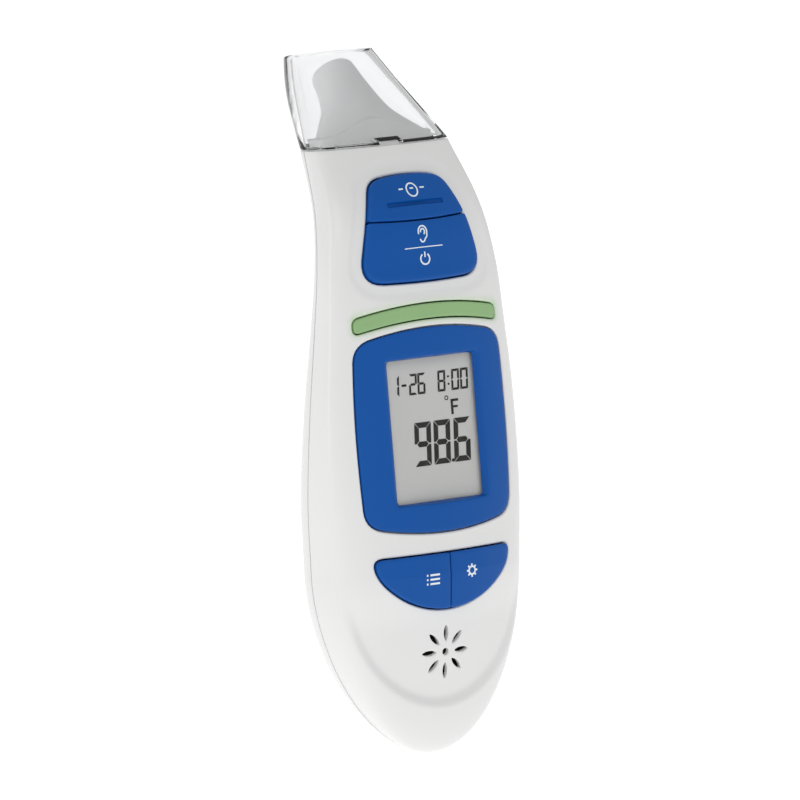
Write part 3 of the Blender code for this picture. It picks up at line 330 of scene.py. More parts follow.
def arc_edge(start, end, sag, begin, finish, steps):
    """Points of a circular edge that bulges by sag to the right of its direction."""
    chord = end - start
    length = chord.length
    side = Vector((chord.y, -chord.x)) / length
    points = []
    for step in range(steps + 1):
        share = (begin + (length - begin - finish) * step / steps) / length
        across = (share - 0.5) * length
        rise = 0.0
        if abs(sag) > 1e-6:
            radius = (length * length / 4.0 + sag * sag) / (2.0 * abs(sag))
            rise = math.sqrt(radius * radius - across * across) - (radius - abs(sag))
            rise = math.copysign(rise, sag)
        points.append(start + chord * share + side * rise)
    return points


def outline(corners, edge_steps=14, corner_steps=7):
    """Closed outline from corners (x, up, rounding, sag of the next edge), anticlockwise."""
    count = len(corners)
    edges = []
    for index, corner in enumerate(corners):
        after = corners[(index + 1) % count]
        edges.append(arc_edge(Vector(corner[:2]), Vector(after[:2]), corner[3],
                              corner[2], after[2], edge_steps))
    points = []
    for index, edge in enumerate(edges):
        points += edge
        corner = Vector(corners[(index + 1) % count][:2])
        start, end = edge[-1], edges[(index + 1) % count][0]
        for step in range(1, corner_steps):
            t = step / corner_steps
            points.append(start * (1 - t) ** 2 + corner * (2 * t * (1 - t)) + end * t * t)
    return points


def grown(points, distance):
    """The outline moved outwards by a distance."""
    result = []
    count = len(points)
    for index, point in enumerate(points):
        before = (point - points[index - 1]).normalized()
        after = (points[(index + 1) % count] - point).normalized()
        normal = Vector((before.y + after.y, -before.x - after.x)).normalized()
        stretch = max(0.5, normal.dot(Vector((before.y, -before.x))))
        result.append(point + normal * (distance / stretch))
    return result


def seam_height(below):
    return SEAM_HEIGHT + below


def face_half_width(below, margin):
    return body_section(seam_height(below))[0] - margin


def display_place():
    middle = seam_height(DISPLAY_MIDDLE)
    return face_place(middle - BEZEL_HEIGHT / 2.0, middle + BEZEL_HEIGHT / 2.0)


def bezel_outline():
    half = face_half_width(DISPLAY_MIDDLE, BEZEL_MARGIN) - BEZEL_SIDE_BULGE
    up = BEZEL_HEIGHT / 2.0
    return outline(((half, -up, BEZEL_CORNER, BEZEL_SIDE_BULGE), (half, up, BEZEL_CORNER, BEZEL_CROWN),
                    (-half, up, BEZEL_CORNER, BEZEL_SIDE_BULGE), (-half, -up, BEZEL_CORNER, BEZEL_CROWN)))


def window_outline(depth, grow=0.0):
    half = face_half_width(DISPLAY_MIDDLE, BEZEL_MARGIN) - FRAME_SIDE - WINDOW_SIDE_DRAFT * depth + grow
    top = BEZEL_HEIGHT / 2.0 - FRAME_TOP - WINDOW_END_DRAFT * depth + grow
    bottom = -BEZEL_HEIGHT / 2.0 + FRAME_BOTTOM + WINDOW_END_DRAFT * depth - grow
    return outline(((half, bottom, 0.9, 0.0), (half, top, 0.9, 0.0),
                    (-half, top, 0.9, 0.0), (-half, bottom, 0.9, 0.0)))


def bar_place():
    middle = seam_height(BAR_MIDDLE)
    return face_place(middle - BAR_HEIGHT, middle + BAR_HEIGHT)


def bar_outline():
    half = face_half_width(BAR_MIDDLE, BAR_MARGIN)
    up = BAR_HEIGHT / 2.0
    fall = BAR_ARCH / 2.0
    return outline(((half, -up - fall, 1.3, 0.0), (half, up - fall, 1.3, BAR_ARCH),
                    (-half, up - fall, 1.3, 0.0), (-half, -up - fall, 1.3, -BAR_ARCH)), edge_steps=20)


def keys_place():
    return face_place(seam_height(KEYS_LOW), seam_height(KEYS_HIGH))


def keys_reach():
    low, high = seam_height(KEYS_LOW), seam_height(KEYS_HIGH)
    rise = body_section(high)[1] - body_section(low)[1]
    return math.hypot(high - low, rise) / 2.0 - 0.9


def keys_outline():
    up = keys_reach()
    bottom = face_half_width(KEYS_LOW, KEYS_BOTTOM_MARGIN)
    top = KEYS_TOP_WIDTH / 2.0
    return outline(((bottom, -up, 5.0, 0.6), (top, up, 2.6, 0.8), (-top, up, 2.6, 0.6),
                    (-bottom, -up, 5.0, 0.9)))


def one_key_outline(side):
    """The head key's share of the pair's outline (side 1) or the ear key's (side -1)."""
    place = keys_place()
    up = keys_reach()
    bottom = face_half_width(KEYS_LOW, KEYS_BOTTOM_MARGIN)
    top = KEYS_TOP_WIDTH / 2.0
    height = seam_height(KEYS_SPLIT)
    middle = place.local((0.0, body_section(height)[1], height)).z + side * GAP / 2.0
    share = (middle + up) / (2.0 * up)
    half = bottom + (top - bottom) * share + 0.6 * 4.0 * share * (1.0 - share)
    sag = half * half / (2.0 * KEYS_SPLIT_RADIUS)
    edge = middle + sag
    if side > 0:
        bulge = 0.6 * (1.0 - share) ** 2
        return outline(((half, edge, 0.9, bulge), (top, up, 2.6, 0.8),
                        (-top, up, 2.6, bulge), (-half, edge, 0.9, sag)))
    bulge = 0.6 * share ** 2
    return outline(((bottom, -up, 5.0, bulge), (half, edge, 0.5, -sag),
                    (-half, edge, 0.5, bulge), (-bottom, -up, 5.0, 0.9)))


def mem_place():
    middle = seam_height(MEM_TOP - MEM_HEIGHT / 2.0)
    return Place((0.0, body_section(middle)[1], middle), display_place().tilt)


def mem_outline():
    half = face_half_width(MEM_TOP - 3.0, MEM_MARGIN)
    up = MEM_HEIGHT / 2.0
    low = up - MEM_TIP
    return outline(((-half + 0.9, low, 1.6, MEM_HEIGHT - MEM_TIP), (half - 0.9, low, 1.6, 0.0),
                    (half, up, 2.0, 0.0), (-half, up, 2.0, 0.0)), edge_steps=30)


def half_mem_outline(side):
    """The memory key (side -1) or the set key (side 1)."""
    half = face_half_width(MEM_TOP - 3.0, MEM_MARGIN)
    up = MEM_HEIGHT / 2.0
    low = up - MEM_TIP
    end = half - 0.9
    sag = MEM_HEIGHT - MEM_TIP
    radius = (end * end + sag * sag) / (2.0 * sag)
    chord = math.hypot(end, sag)
    part = radius - math.sqrt(radius * radius - chord * chord / 4.0)
    inner = 0.08
    if side > 0:
        return outline(((inner, -up, 0.7, part), (end, low, 1.6, 0.0), (half, up, 2.0, 0.0),
                        (inner, up, 0.6, 0.0)))
    return outline(((-inner, -up, 0.7, 0.0), (-inner, up, 0.6, 0.0), (-half, up, 2.0, 0.0),
                    (-end, low, 1.6, part)))


def speaker_place():
    middle = seam_height(SPEAKER_HEIGHT)
    return face_place(middle - 7.0, middle + 7.0)


def door_place():
    return Place((0.0, 0.0, seam_height((DOOR_LOW + DOOR_HIGH) / 2.0)), 0.0)


def door_outline():
    half = DOOR_WIDTH / 2.0
    up = (DOOR_HIGH - DOOR_LOW) / 2.0
    return outline(((half, -up, DOOR_CORNER, 0.0), (half, up, DOOR_CORNER, 0.0),
                    (-half, up, DOOR_CORNER, 0.0), (-half, -up, DOOR_CORNER, 0.0)), edge_steps=26)


def distance_outside(points, place):
    """Distance from a local place to a closed outline."""
    best = 1e9
    for start, end in zip(points, points[1:] + points[:1]):
        along = end - start
        t = min(1.0, max(0.0, (place - start).dot(along) / along.length_squared))
        best = min(best, (start + along * t - place).length)
    return best


def relief(point):
    """How deep the face is set back at a point of the front surface."""
    deep = 0.0
    if point.z < DISH_FADE[0]:
        over = point.z - DISH_MIDDLE
        inner = math.hypot(point.x / DISH_INNER[0], min(0.0, over) / DISH_INNER[1]) - 1.0
        outer = 1.0 - math.hypot(point.x / DISH_OUTER[0], min(0.0, over) / DISH_OUTER[1])
        if inner <= 0.0:
            share = 1.0
        elif outer <= 0.0:
            share = 0.0
        else:
            share = smooth(0.0, 1.0, outer / (outer + inner))
        deep += DISH_DEPTH * share * smooth(-DISH_FADE[0], -DISH_FADE[1], -point.z)
    if point.z > seam_height(KEYS_LOW) - 2.0 * BED_WIDTH:
        local = keys.local(point)
        away = distance_outside(keys_line, Vector((local.x, local.z)))
        if abs(local.x) < 20.0:
            deep += BED_DEPTH * (1.0 - smooth(BED_WIDTH - BED_SLOPE, BED_WIDTH + BED_SLOPE / 2.0, away))
    return deep


keys = keys_place()
keys_line = keys_outline()


# Mesh building

def bent_sheet(rows, closed=False):
    """A grid of squares bent so that its vertices lie on rows of points."""
    columns = len(rows[0]) if closed else len(rows[0]) - 1
    lines = len(rows) - 1
    bm = bmesh.new()
    bmesh.ops.create_grid(bm, x_segments=columns, y_segments=lines, size=1.0)
    for vert in bm.verts:
        column = round((vert.co.x + 1.0) / 2.0 * columns)
        line = round((vert.co.y + 1.0) / 2.0 * lines)
        vert.co = rows[line][column % len(rows[0])] * MM
    bmesh.ops.remove_doubles(bm, verts=bm.verts, dist=2e-6)
    return bm


def closed_solid(rows):
    """Closed solid from rings of points, its two ends filled."""
    bm = bent_sheet(rows, closed=True)
    bmesh.ops.holes_fill(bm, edges=[edge for edge in bm.edges if edge.is_boundary])
    face_outwards(bm)
    return bm


def face_outwards(bm):
    bmesh.ops.recalc_face_normals(bm, faces=bm.faces)
    if bm.calc_volume(signed=True) < 0.0:
        bmesh.ops.reverse_faces(bm, faces=bm.faces)


def add_to(bm, other):
    """Moves another mesh's faces into bm."""
    held = bpy.data.meshes.new("held")
    other.to_mesh(held)
    other.free()
    bm.from_mesh(held)
    bpy.data.meshes.remove(held)


def piece(name, bm, finish, body=None, stands_for=(), sharp=32.0):
    """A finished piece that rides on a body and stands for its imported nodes."""
    mesh = bpy.data.meshes.new(name)
    bm.to_mesh(mesh)
    bm.free()
    obj = bpy.data.objects.new(name, mesh)
    bpy.context.scene.collection.objects.link(obj)
    mesh.materials.append(finish)
    mesh.shade_smooth()
    mesh.set_sharp_from_angle(angle=math.radians(sharp))
    if body:
        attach(obj, body)
    if stands_for:
        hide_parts(*stands_for)
    return obj


def cut(obj, bm, name):
    """Cuts a closed mesh out of a piece and applies the cut."""
    mesh = bpy.data.meshes.new(name)
    bm.to_mesh(mesh)
    bm.free()
    tool = bpy.data.objects.new(name, mesh)
    bpy.context.scene.collection.objects.link(tool)
    modifier = obj.modifiers.new(name, "BOOLEAN")
    modifier.operation = "DIFFERENCE"
    modifier.solver = "EXACT"
    modifier.object = tool
    bpy.context.view_layer.update()
    graph = bpy.context.evaluated_depsgraph_get()
    made = bpy.data.meshes.new_from_object(obj.evaluated_get(graph))
    obj.modifiers.clear()
    obj.data = made
    made.shade_smooth()
    made.set_sharp_from_angle(angle=math.radians(32.0))
    bpy.data.objects.remove(tool)
    bpy.data.meshes.remove(mesh)


def ring_on(place, points, grow, side=-1):
    return [drop(place, point.x, point.y, grow, side) for point in points]


def opening(place, points, depth, ledge=0.0, ledge_depth=0.0, side=-1, lip=0.3, spine=None):
    """Cutter for an opening in a shell: a rounded lip, straight walls and an inner ledge."""
    profile = [(2.0 * lip, 0.5 * lip), (lip, -0.13 * lip), (0.45 * lip, -0.45 * lip),
               (0.1 * lip, -0.9 * lip), (0.0, -1.4 * lip)]
    if ledge:
        profile += [(0.0, -ledge_depth), (-ledge, -ledge_depth), (-ledge, -depth)]
    else:
        profile.append((0.0, -depth))
    if side < 0:
        rows = [set_back_ring(place, grown(points, out), grow) for out, grow in profile]
    else:
        rows = [ring_on(place, grown(points, out), grow, side) for out, grow in profile]
    top = inset_rings(grown(points, 2.0 * lip), 5, spine)
    bottom = inset_rings(grown(points, -ledge), 5, spine)
    rows = [ring_on(place, ring, 2.0, side) for ring in top[::-1] + [grown(points, 2.0 * lip)]] + rows
    rows += [ring_on(place, ring, -depth, side) for ring in bottom]
    return closed_solid(rows)


def set_back_ring(place, points, grow):
    """A ring on the face that follows its relief."""
    ring = []
    for point in points:
        on = drop(place, point.x, point.y, grow)
        ring.append(on + place.inward * relief(on))
    return ring


def area_middle(points):
    area, middle = 0.0, Vector((0.0, 0.0))
    for start, end in zip(points, points[1:] + points[:1]):
        part = start.x * end.y - end.x * start.y
        area += part
        middle += (start + end) * part
    return middle / (3.0 * area)


def inset_rings(points, count, spine=None):
    """The outline drawn in step by step, to its middle or to an arched line, for a crowned top."""
    middle = area_middle(points)
    half = max(point.x for point in points)
    rings = []
    for step in range(1, count + 1):
        share = 1.0 - step / (count + 0.15)
        ring = []
        for point in points:
            target = middle
            if spine is not None:
                across = 0.93 * point.x
                target = Vector((across, spine * (0.5 - (across / half) ** 2)))
            ring.append(target.lerp(point, share))
        rings.append(ring)
    return rings


def key_solid(place, points, rise, depth, spine=None):
    """A key or a light guide: straight sides, a rounded lip and a top that follows the face."""
    lip = KEY_LIP
    foot = grown(points, -0.25)
    rows = [ring_on(place, ring, -depth) for ring in inset_rings(foot, 6, spine)[::-1] + [foot]]
    rows.append(ring_on(place, points, -depth + 0.4))
    for out, down in ((0.0, -1.2), (0.0, -1.0), (-0.07, -0.55), (-0.3, -0.22), (-0.75, -0.03)):
        rows.append(ring_on(place, grown(points, out * lip), rise + down * lip))
    for ring in inset_rings(grown(points, -0.9 * lip), 12, spine):
        rows.append(ring_on(place, ring, rise))
    return closed_solid(rows)


# Finishes

def new_group(name, inputs, outputs):
    group = bpy.data.node_groups.new(name, "ShaderNodeTree")
    for label, kind, value in inputs:
        socket = group.interface.new_socket(name=label, in_out="INPUT", socket_type=kind)
        socket.default_value = value
    for label, kind in outputs:
        group.interface.new_socket(name=label, in_out="OUTPUT", socket_type=kind)
    source = group.nodes.new("NodeGroupInput")
    sink = group.nodes.new("NodeGroupOutput")
    return group, source, sink


def maths(tree, operation, first, second=None):
    node = tree.nodes.new("ShaderNodeMath")
    node.operation = operation
    for index, value in enumerate((first, second)):
        if value is None:
            continue
        if isinstance(value, (int, float)):
            node.inputs[index].default_value = value
        else:
            tree.links.new(value, node.inputs[index])
    return node.outputs[0]


def noise(tree, vector, scale, detail=3.0, roughness=0.5):
    node = tree.nodes.new("ShaderNodeTexNoise")
    node.inputs["Detail"].default_value = detail
    node.inputs["Roughness"].default_value = roughness
    tree.links.new(vector, node.inputs["Vector"])
    if isinstance(scale, (int, float)):
        node.inputs["Scale"].default_value = scale
    else:
        tree.links.new(scale, node.inputs["Scale"])
    return node.outputs["Fac"]


def blend(tree, factor, first, second, mode="MIX"):
    """Mixes two colours by a factor; a colour is a value or another node's output."""
    node = tree.nodes.new("ShaderNodeMix")
    node.data_type = "RGBA"
    node.blend_type = mode
    tree.links.new(factor, node.inputs["Factor"])
    for index, colour in ((6, first), (7, second)):
        if isinstance(colour, tuple):
            node.inputs[index].default_value = (*colour, 1.0)
        else:
            tree.links.new(colour, node.inputs[index])
    return node.outputs[2]


def bump(tree, height, distance):
    node = tree.nodes.new("ShaderNodeBump")
    node.inputs["Strength"].default_value = 1.0
    node.inputs["Distance"].default_value = distance
    tree.links.new(height, node.inputs["Height"])
    return node.outputs["Normal"]


def object_place(tree):
    return tree.nodes.new("ShaderNodeTexCoord").outputs["Object"]


def moulded_group():
    """Moulded plastic: a fine skin, slow waves from cooling, uneven shade and handling marks."""
    group, source, sink = new_group(
        "moulded_plastic",
        (("Colour", "NodeSocketColor", (0.8, 0.8, 0.8, 1.0)), ("Roughness", "NodeSocketFloat", 0.3),
         ("Skin scale", "NodeSocketFloat", 3000.0), ("Skin depth", "NodeSocketFloat", 0.1),
         ("Waviness", "NodeSocketFloat", 0.1), ("Shade", "NodeSocketFloat", 0.03),
         ("Marks", "NodeSocketFloat", 0.1)),
        (("Colour", "NodeSocketColor"), ("Roughness", "NodeSocketFloat"), ("Normal", "NodeSocketVector")))
    place = object_place(group)
    links = group.links
    skin = noise(group, place, source.outputs["Skin scale"], 2.0)
    waves = noise(group, place, 90.0, 1.0)
    cloud = noise(group, place, 38.0, 3.0)
    stretched = group.nodes.new("ShaderNodeMapping")
    stretched.inputs["Rotation"].default_value = (0.3, 0.5, 0.2)
    stretched.inputs["Scale"].default_value = (1.0, 1.0, 0.06)
    links.new(place, stretched.inputs["Vector"])
    scratch = noise(group, stretched.outputs["Vector"], 2600.0, 4.0, 0.7)
    thin = maths(group, "MULTIPLY", maths(group, "GREATER_THAN", scratch, 0.68), source.outputs["Marks"])
    shade = maths(group, "MULTIPLY", maths(group, "SUBTRACT", cloud, 0.5), source.outputs["Shade"])
    factor = maths(group, "ADD", shade, 1.0)
    tint = group.nodes.new("ShaderNodeVectorMath")
    tint.operation = "SCALE"
    links.new(source.outputs["Colour"], tint.inputs[0])
    links.new(factor, tint.inputs["Scale"])
    links.new(tint.outputs[0], sink.inputs["Colour"])
    uneven = maths(group, "MULTIPLY", maths(group, "SUBTRACT", cloud, 0.45), 0.12)
    rough = maths(group, "ADD", maths(group, "ADD", source.outputs["Roughness"], uneven), thin)
    links.new(rough, sink.inputs["Roughness"])
    fine = maths(group, "MULTIPLY", skin, source.outputs["Skin depth"])
    slow = maths(group, "MULTIPLY", waves, source.outputs["Waviness"])
    links.new(bump(group, maths(group, "ADD", fine, slow), 0.0001), sink.inputs["Normal"])
    return group


def glow_group():
    """Green light spilt on the white case round the light guide, as a mask."""
    group, source, sink = new_group(
        "guide_spill",
        (("Reach", "NodeSocketFloat", 0.003),),
        (("Mask", "NodeSocketFloat"),))
    split = group.nodes.new("ShaderNodeSeparateXYZ")
    group.links.new(object_place(group), split.inputs[0])
    low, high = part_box("light_bar")
    half = (high.x - low.x) / 2.0
    middle = seam_height(BAR_MIDDLE) * MM
    across = maths(group, "DIVIDE", split.outputs["X"], half)
    arch = maths(group, "MULTIPLY", maths(group, "MULTIPLY", across, across), -BAR_ARCH * MM)
    line = maths(group, "ADD", arch, middle + BAR_ARCH * MM * 0.45)
    off = maths(group, "ABSOLUTE", maths(group, "SUBTRACT", split.outputs["Z"], line))
    beyond = maths(group, "MAXIMUM", maths(group, "SUBTRACT", off, BAR_HEIGHT * MM / 2.0), 0.0)
    sideways = maths(group, "SUBTRACT", maths(group, "ABSOLUTE", split.outputs["X"]), half)
    side = maths(group, "MAXIMUM", sideways, 0.0)
    away = maths(group, "ADD", beyond, side)
    faded = maths(group, "SUBTRACT", 1.0, maths(group, "DIVIDE", away, source.outputs["Reach"]))
    mask = maths(group, "POWER", maths(group, "MAXIMUM", faded, 0.0), 2.0)
    front = maths(group, "LESS_THAN", split.outputs["Y"], 0.004)
    group.links.new(maths(group, "MULTIPLY", mask, front), sink.inputs["Mask"])
    return group


MOULDED = moulded_group()
SPILL = glow_group()


def new_material(name):
    made = bpy.data.materials.new(name)
    made.use_nodes = True
    return made, made.node_tree, made.node_tree.nodes["Principled BSDF"]


def moulded(name, colour, roughness, skin=3000.0, depth=0.02, waves=0.05, shade=0.03, marks=0.05, coat=0.0):
    made, tree, shader = new_material(name)
    group = tree.nodes.new("ShaderNodeGroup")
    group.node_tree = MOULDED
    values = (("Colour", (*colour, 1.0)), ("Roughness", roughness), ("Skin scale", skin), ("Skin depth", depth),
              ("Waviness", waves), ("Shade", shade), ("Marks", marks))
    for label, value in values:
        group.inputs[label].default_value = value
    tree.links.new(group.outputs["Colour"], shader.inputs["Base Color"])
    tree.links.new(group.outputs["Roughness"], shader.inputs["Roughness"])
    tree.links.new(group.outputs["Normal"], shader.inputs["Normal"])
    shader.inputs["Coat Weight"].default_value = coat
    shader.inputs["Coat Roughness"].default_value = 0.12
    return made, tree, shader, group


def white_case():
    """Glossy white plastic, with the light guide's green light painted into its colour close to the guide."""
    made, tree, shader, group = moulded("white_case", (0.80, 0.80, 0.795), 0.24, depth=0.012, waves=0.04,
                                        shade=0.02, marks=0.04)
    spill = tree.nodes.new("ShaderNodeGroup")
    spill.node_tree = SPILL
    spill.inputs["Reach"].default_value = 0.0022
    # Painted light: the green glow of the light guide is multiplied into the case's colour near the bar.
    share = maths(tree, "MULTIPLY", spill.outputs["Mask"], 0.75)
    painted_guide_light = blend(tree, share, group.outputs["Colour"], (0.62, 0.86, 0.50), "MULTIPLY")
    tree.links.new(painted_guide_light, shader.inputs["Base Color"])
    return made


def green_guide():
    """Frosted light guide with a faint glow, stronger over its two lamps."""
    made, tree, shader, _ = moulded("green_light_guide", (0.25, 0.42, 0.19), 0.42, skin=5200.0, depth=0.05)
    place = object_place(tree)
    split = tree.nodes.new("ShaderNodeSeparateXYZ")
    tree.links.new(place, split.inputs[0])
    low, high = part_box("led_right")
    lamp = (low.x + high.x) / 2.0
    off = maths(tree, "ABSOLUTE", maths(tree, "SUBTRACT", maths(tree, "ABSOLUTE", split.outputs["X"]), lamp))
    near = maths(tree, "MAXIMUM", maths(tree, "SUBTRACT", 1.0, maths(tree, "DIVIDE", off, 0.012)), 0.0)
    tree.links.new(blend(tree, near, (0.20, 0.34, 0.13), (0.28, 0.45, 0.20)), shader.inputs["Emission Color"])
    shader.inputs["Emission Strength"].default_value = 0.12
    return made


def clear(name, tint, roughness, ior=1.49):
    """Clear plastic that lets light fall on what is behind it."""
    made, tree, shader = new_material(name)
    shader.inputs["Base Color"].default_value = (*tint, 1.0)
    shader.inputs["Roughness"].default_value = roughness
    shader.inputs["Transmission Weight"].default_value = 1.0
    shader.inputs["IOR"].default_value = ior
    waves = noise(tree, object_place(tree), 120.0, 2.0)
    tree.links.new(bump(tree, waves, 0.00004), shader.inputs["Normal"])
    through = tree.nodes.new("ShaderNodeBsdfTransparent")
    through.inputs["Color"].default_value = (*[0.5 + 0.5 * value for value in tint], 1.0)
    path = tree.nodes.new("ShaderNodeLightPath")
    mix = tree.nodes.new("ShaderNodeMixShader")
    tree.links.new(path.outputs["Is Shadow Ray"], mix.inputs["Fac"])
    tree.links.new(shader.outputs["BSDF"], mix.inputs[1])
    tree.links.new(through.outputs["BSDF"], mix.inputs[2])
    tree.links.new(mix.outputs["Shader"], tree.nodes["Material Output"].inputs["Surface"])
    return made


def lcd_glass():
    """Display panel: grey reflector with a fine grain and slow shading."""
    made, tree, shader = new_material("lcd_reflector")
    place = object_place(tree)
    grain = noise(tree, place, 9000.0, 2.0)
    cloud = noise(tree, place, 70.0, 2.0)
    both = maths(tree, "ADD", maths(tree, "MULTIPLY", grain, 0.5), maths(tree, "MULTIPLY", cloud, 0.5))
    tree.links.new(blend(tree, both, (0.56, 0.56, 0.55), (0.62, 0.62, 0.61)), shader.inputs["Base Color"])
    tree.links.new(maths(tree, "ADD", maths(tree, "MULTIPLY", cloud, 0.08), 0.3), shader.inputs["Roughness"])
    return made


def board_mask():
    """Green solder mask with copper tracks and lighter pads."""
    made, tree, shader = new_material("board_solder_mask")
    place = object_place(tree)
    cells = tree.nodes.new("ShaderNodeTexVoronoi")
    cells.distance = "CHEBYCHEV"
    cells.feature = "F1"
    cells.inputs["Scale"].default_value = 420.0
    tree.links.new(place, cells.inputs["Vector"])
    bands = maths(tree, "FRACT", maths(tree, "MULTIPLY", cells.outputs["Distance"], 5.0))
    tracks = maths(tree, "LESS_THAN", bands, 0.35)
    tree.links.new(blend(tree, tracks, (0.010, 0.12, 0.045), (0.03, 0.22, 0.08)), shader.inputs["Base Color"])
    cloud = noise(tree, place, 300.0)
    tree.links.new(maths(tree, "ADD", maths(tree, "MULTIPLY", cloud, 0.2), 0.25), shader.inputs["Roughness"])
    tree.links.new(bump(tree, tracks, 0.00004), shader.inputs["Normal"])
    return made


def metal(name, colour, roughness, scale=2000.0, stretch=0.05):
    """Rolled or turned metal with fine lines and small stains."""
    made, tree, shader = new_material(name)
    place = object_place(tree)
    lines = tree.nodes.new("ShaderNodeMapping")
    lines.inputs["Scale"].default_value = (1.0, 1.0, stretch)
    tree.links.new(place, lines.inputs["Vector"])
    brushed = noise(tree, lines.outputs["Vector"], scale, 4.0, 0.6)
    stain = noise(tree, place, 260.0, 3.0)
    darker = tuple(0.8 * value for value in colour)
    tree.links.new(blend(tree, stain, darker, colour), shader.inputs["Base Color"])
    shader.inputs["Metallic"].default_value = 1.0
    rough = maths(tree, "ADD", maths(tree, "MULTIPLY", brushed, 0.25), roughness)
    tree.links.new(rough, shader.inputs["Roughness"])
    tree.links.new(bump(tree, brushed, 0.00001), shader.inputs["Normal"])
    return made


def cell_jacket():
    """Battery sleeve: dark film with a copper-toned band towards one end, scuffed a little."""
    made, tree, shader, group = moulded("cell_jacket", (0.05, 0.055, 0.06), 0.3, waves=0.1,
                                        shade=0.2, marks=0.15)
    split = tree.nodes.new("ShaderNodeSeparateXYZ")
    tree.links.new(object_place(tree), split.inputs[0])
    low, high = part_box("cell_left")
    share = maths(tree, "DIVIDE", maths(tree, "SUBTRACT", split.outputs["Z"], low.z), high.z - low.z)
    upright = maths(tree, "GREATER_THAN", share, 0.72)
    other = maths(tree, "LESS_THAN", share, 0.28)
    left = maths(tree, "LESS_THAN", split.outputs["X"], 0.0)
    band = maths(tree, "ADD", maths(tree, "MULTIPLY", upright, left),
                 maths(tree, "MULTIPLY", other, maths(tree, "SUBTRACT", 1.0, left)))
    tree.links.new(blend(tree, band, group.outputs["Colour"], (0.62, 0.30, 0.10)), shader.inputs["Base Color"])
    return made


def make_finishes():
    blue, _, blue_shader, _ = moulded("blue_keys", (0.0005, 0.085, 0.37), 0.42, skin=4200.0, depth=0.03,
                                      waves=0.03, shade=0.05, marks=0.06)
    blue_shader.inputs["Specular IOR Level"].default_value = 0.22
    return {
        "white": white_case(),
        "nose": moulded("nose_plastic", (0.83, 0.83, 0.825), 0.38, depth=0.03)[0],
        "blue": blue,
        "green": green_guide(),
        "cap": clear("clear_cap", (0.93, 0.935, 0.94), 0.02),
        "window": clear("clear_window", (0.985, 0.985, 0.985), 0.0, 1.1),
        "lcd": lcd_glass(),
        "ink": moulded("display_ink", (0.011, 0.009, 0.0095), 0.6, shade=0.2)[0],
        "print": moulded("key_print", (0.82, 0.88, 0.93), 0.45, skin=6000.0, depth=0.05, shade=0.05)[0],
        "rubber": moulded("soft_rubber", (0.03, 0.03, 0.032), 0.7, skin=2500.0, depth=0.3, shade=0.2)[0],
        "board": board_mask(),
        "black": moulded("black_plastic", (0.018, 0.018, 0.02), 0.45, depth=0.15, shade=0.2)[0],
        "led": moulded("led_resin", (0.72, 0.84, 0.62), 0.25, depth=0.02)[0],
        "cable": moulded("cable_sleeve", (0.33, 0.33, 0.34), 0.5, depth=0.08, shade=0.1)[0],
        "cell": cell_jacket(),
        "steel": metal("plated_steel", (0.66, 0.66, 0.64), 0.18),
        "aluminium": metal("machined_aluminium", (0.72, 0.73, 0.74), 0.25),
        "gold": metal("gold_plate", (0.90, 0.66, 0.28), 0.12),
        "red": moulded("red_lead", (0.50, 0.02, 0.015), 0.45, shade=0.1)[0],
    }


# Pieces

def shell_heights(grow):
    """Heights of a shell's rows, crowded towards the chin's tip; the last is the seam."""
    first = height_at(STATIONS[0][0])
    chin = STATIONS[0][0] * BODY_LENGTH + grow
    heights = []
    for row in range(CHIN_ROWS):
        heights.append(first - chin * math.cos(math.pi / 2.0 * row / CHIN_ROWS))
    for row in range(BODY_ROWS + 1):
        heights.append(first + (SEAM_HEIGHT - first) * row / BODY_ROWS)
    return heights


def shell(name, side, finish):
    """One half of the case: its outer and inner surface in one ring of points a row."""
    fullness = FRONT_FULLNESS if side < 0 else BACK_FULLNESS
    rows = []
    for outer_height, inner_height in zip(shell_heights(0.0), shell_heights(-WALL)):
        outer = half_ring(body_section(outer_height), outer_height, side, fullness, SHELL_COLUMNS)
        inner = half_ring(body_section(inner_height, -WALL), inner_height, side, fullness, SHELL_COLUMNS)
        if side < 0:
            outer = [point + Vector((0.0, relief(point), 0.0)) for point in outer]
        part = body_section(outer_height)[2] + side * GAP / 2.0
        inner_part = body_section(inner_height)[2] + side * GAP / 2.0
        keep = max if side > 0 else min
        for ring, limit in ((outer, part), (inner, inner_part)):
            for point in ring:
                point.y = keep(point.y, limit)
        rows.append(outer + inner[::-1])
    bm = closed_solid(rows)
    rims = [edge for edge in bm.edges
            if len(edge.link_faces) == 2 and edge.calc_face_angle() > math.radians(55.0)]
    bmesh.ops.bevel(bm, geom=rims, offset=EDGE_ROUNDING * MM, offset_type="OFFSET", segments=2, profile=0.5,
                    affect="EDGES", clamp_overlap=True, material=-1)
    return piece(name, bm, finish, "case")


def petals():
    """Speaker holes: eight pointed slots round a centre hole."""
    place = speaker_place()
    bm = bmesh.new()
    for index in range(PETAL_COUNT + 1):
        turn = Matrix.Rotation(2.0 * math.pi * index / PETAL_COUNT, 2)
        points = []
        for step in range(20):
            angle = 2.0 * math.pi * step / 20
            if index == PETAL_COUNT:
                points.append(Vector((math.cos(angle), math.sin(angle))) * CENTRE_HOLE)
                continue
            across = PETAL_WIDTH / 2.0 * math.cos(angle) * (1.0 - 0.35 * abs(math.sin(angle)) ** 3)
            out = (PETAL_INNER + PETAL_OUTER) / 2.0 + (PETAL_OUTER - PETAL_INNER) / 2.0 * math.sin(angle)
            points.append(turn @ Vector((across, out)))
        add_to(bm, opening(place, points, 4.5, lip=0.12))
    return bm


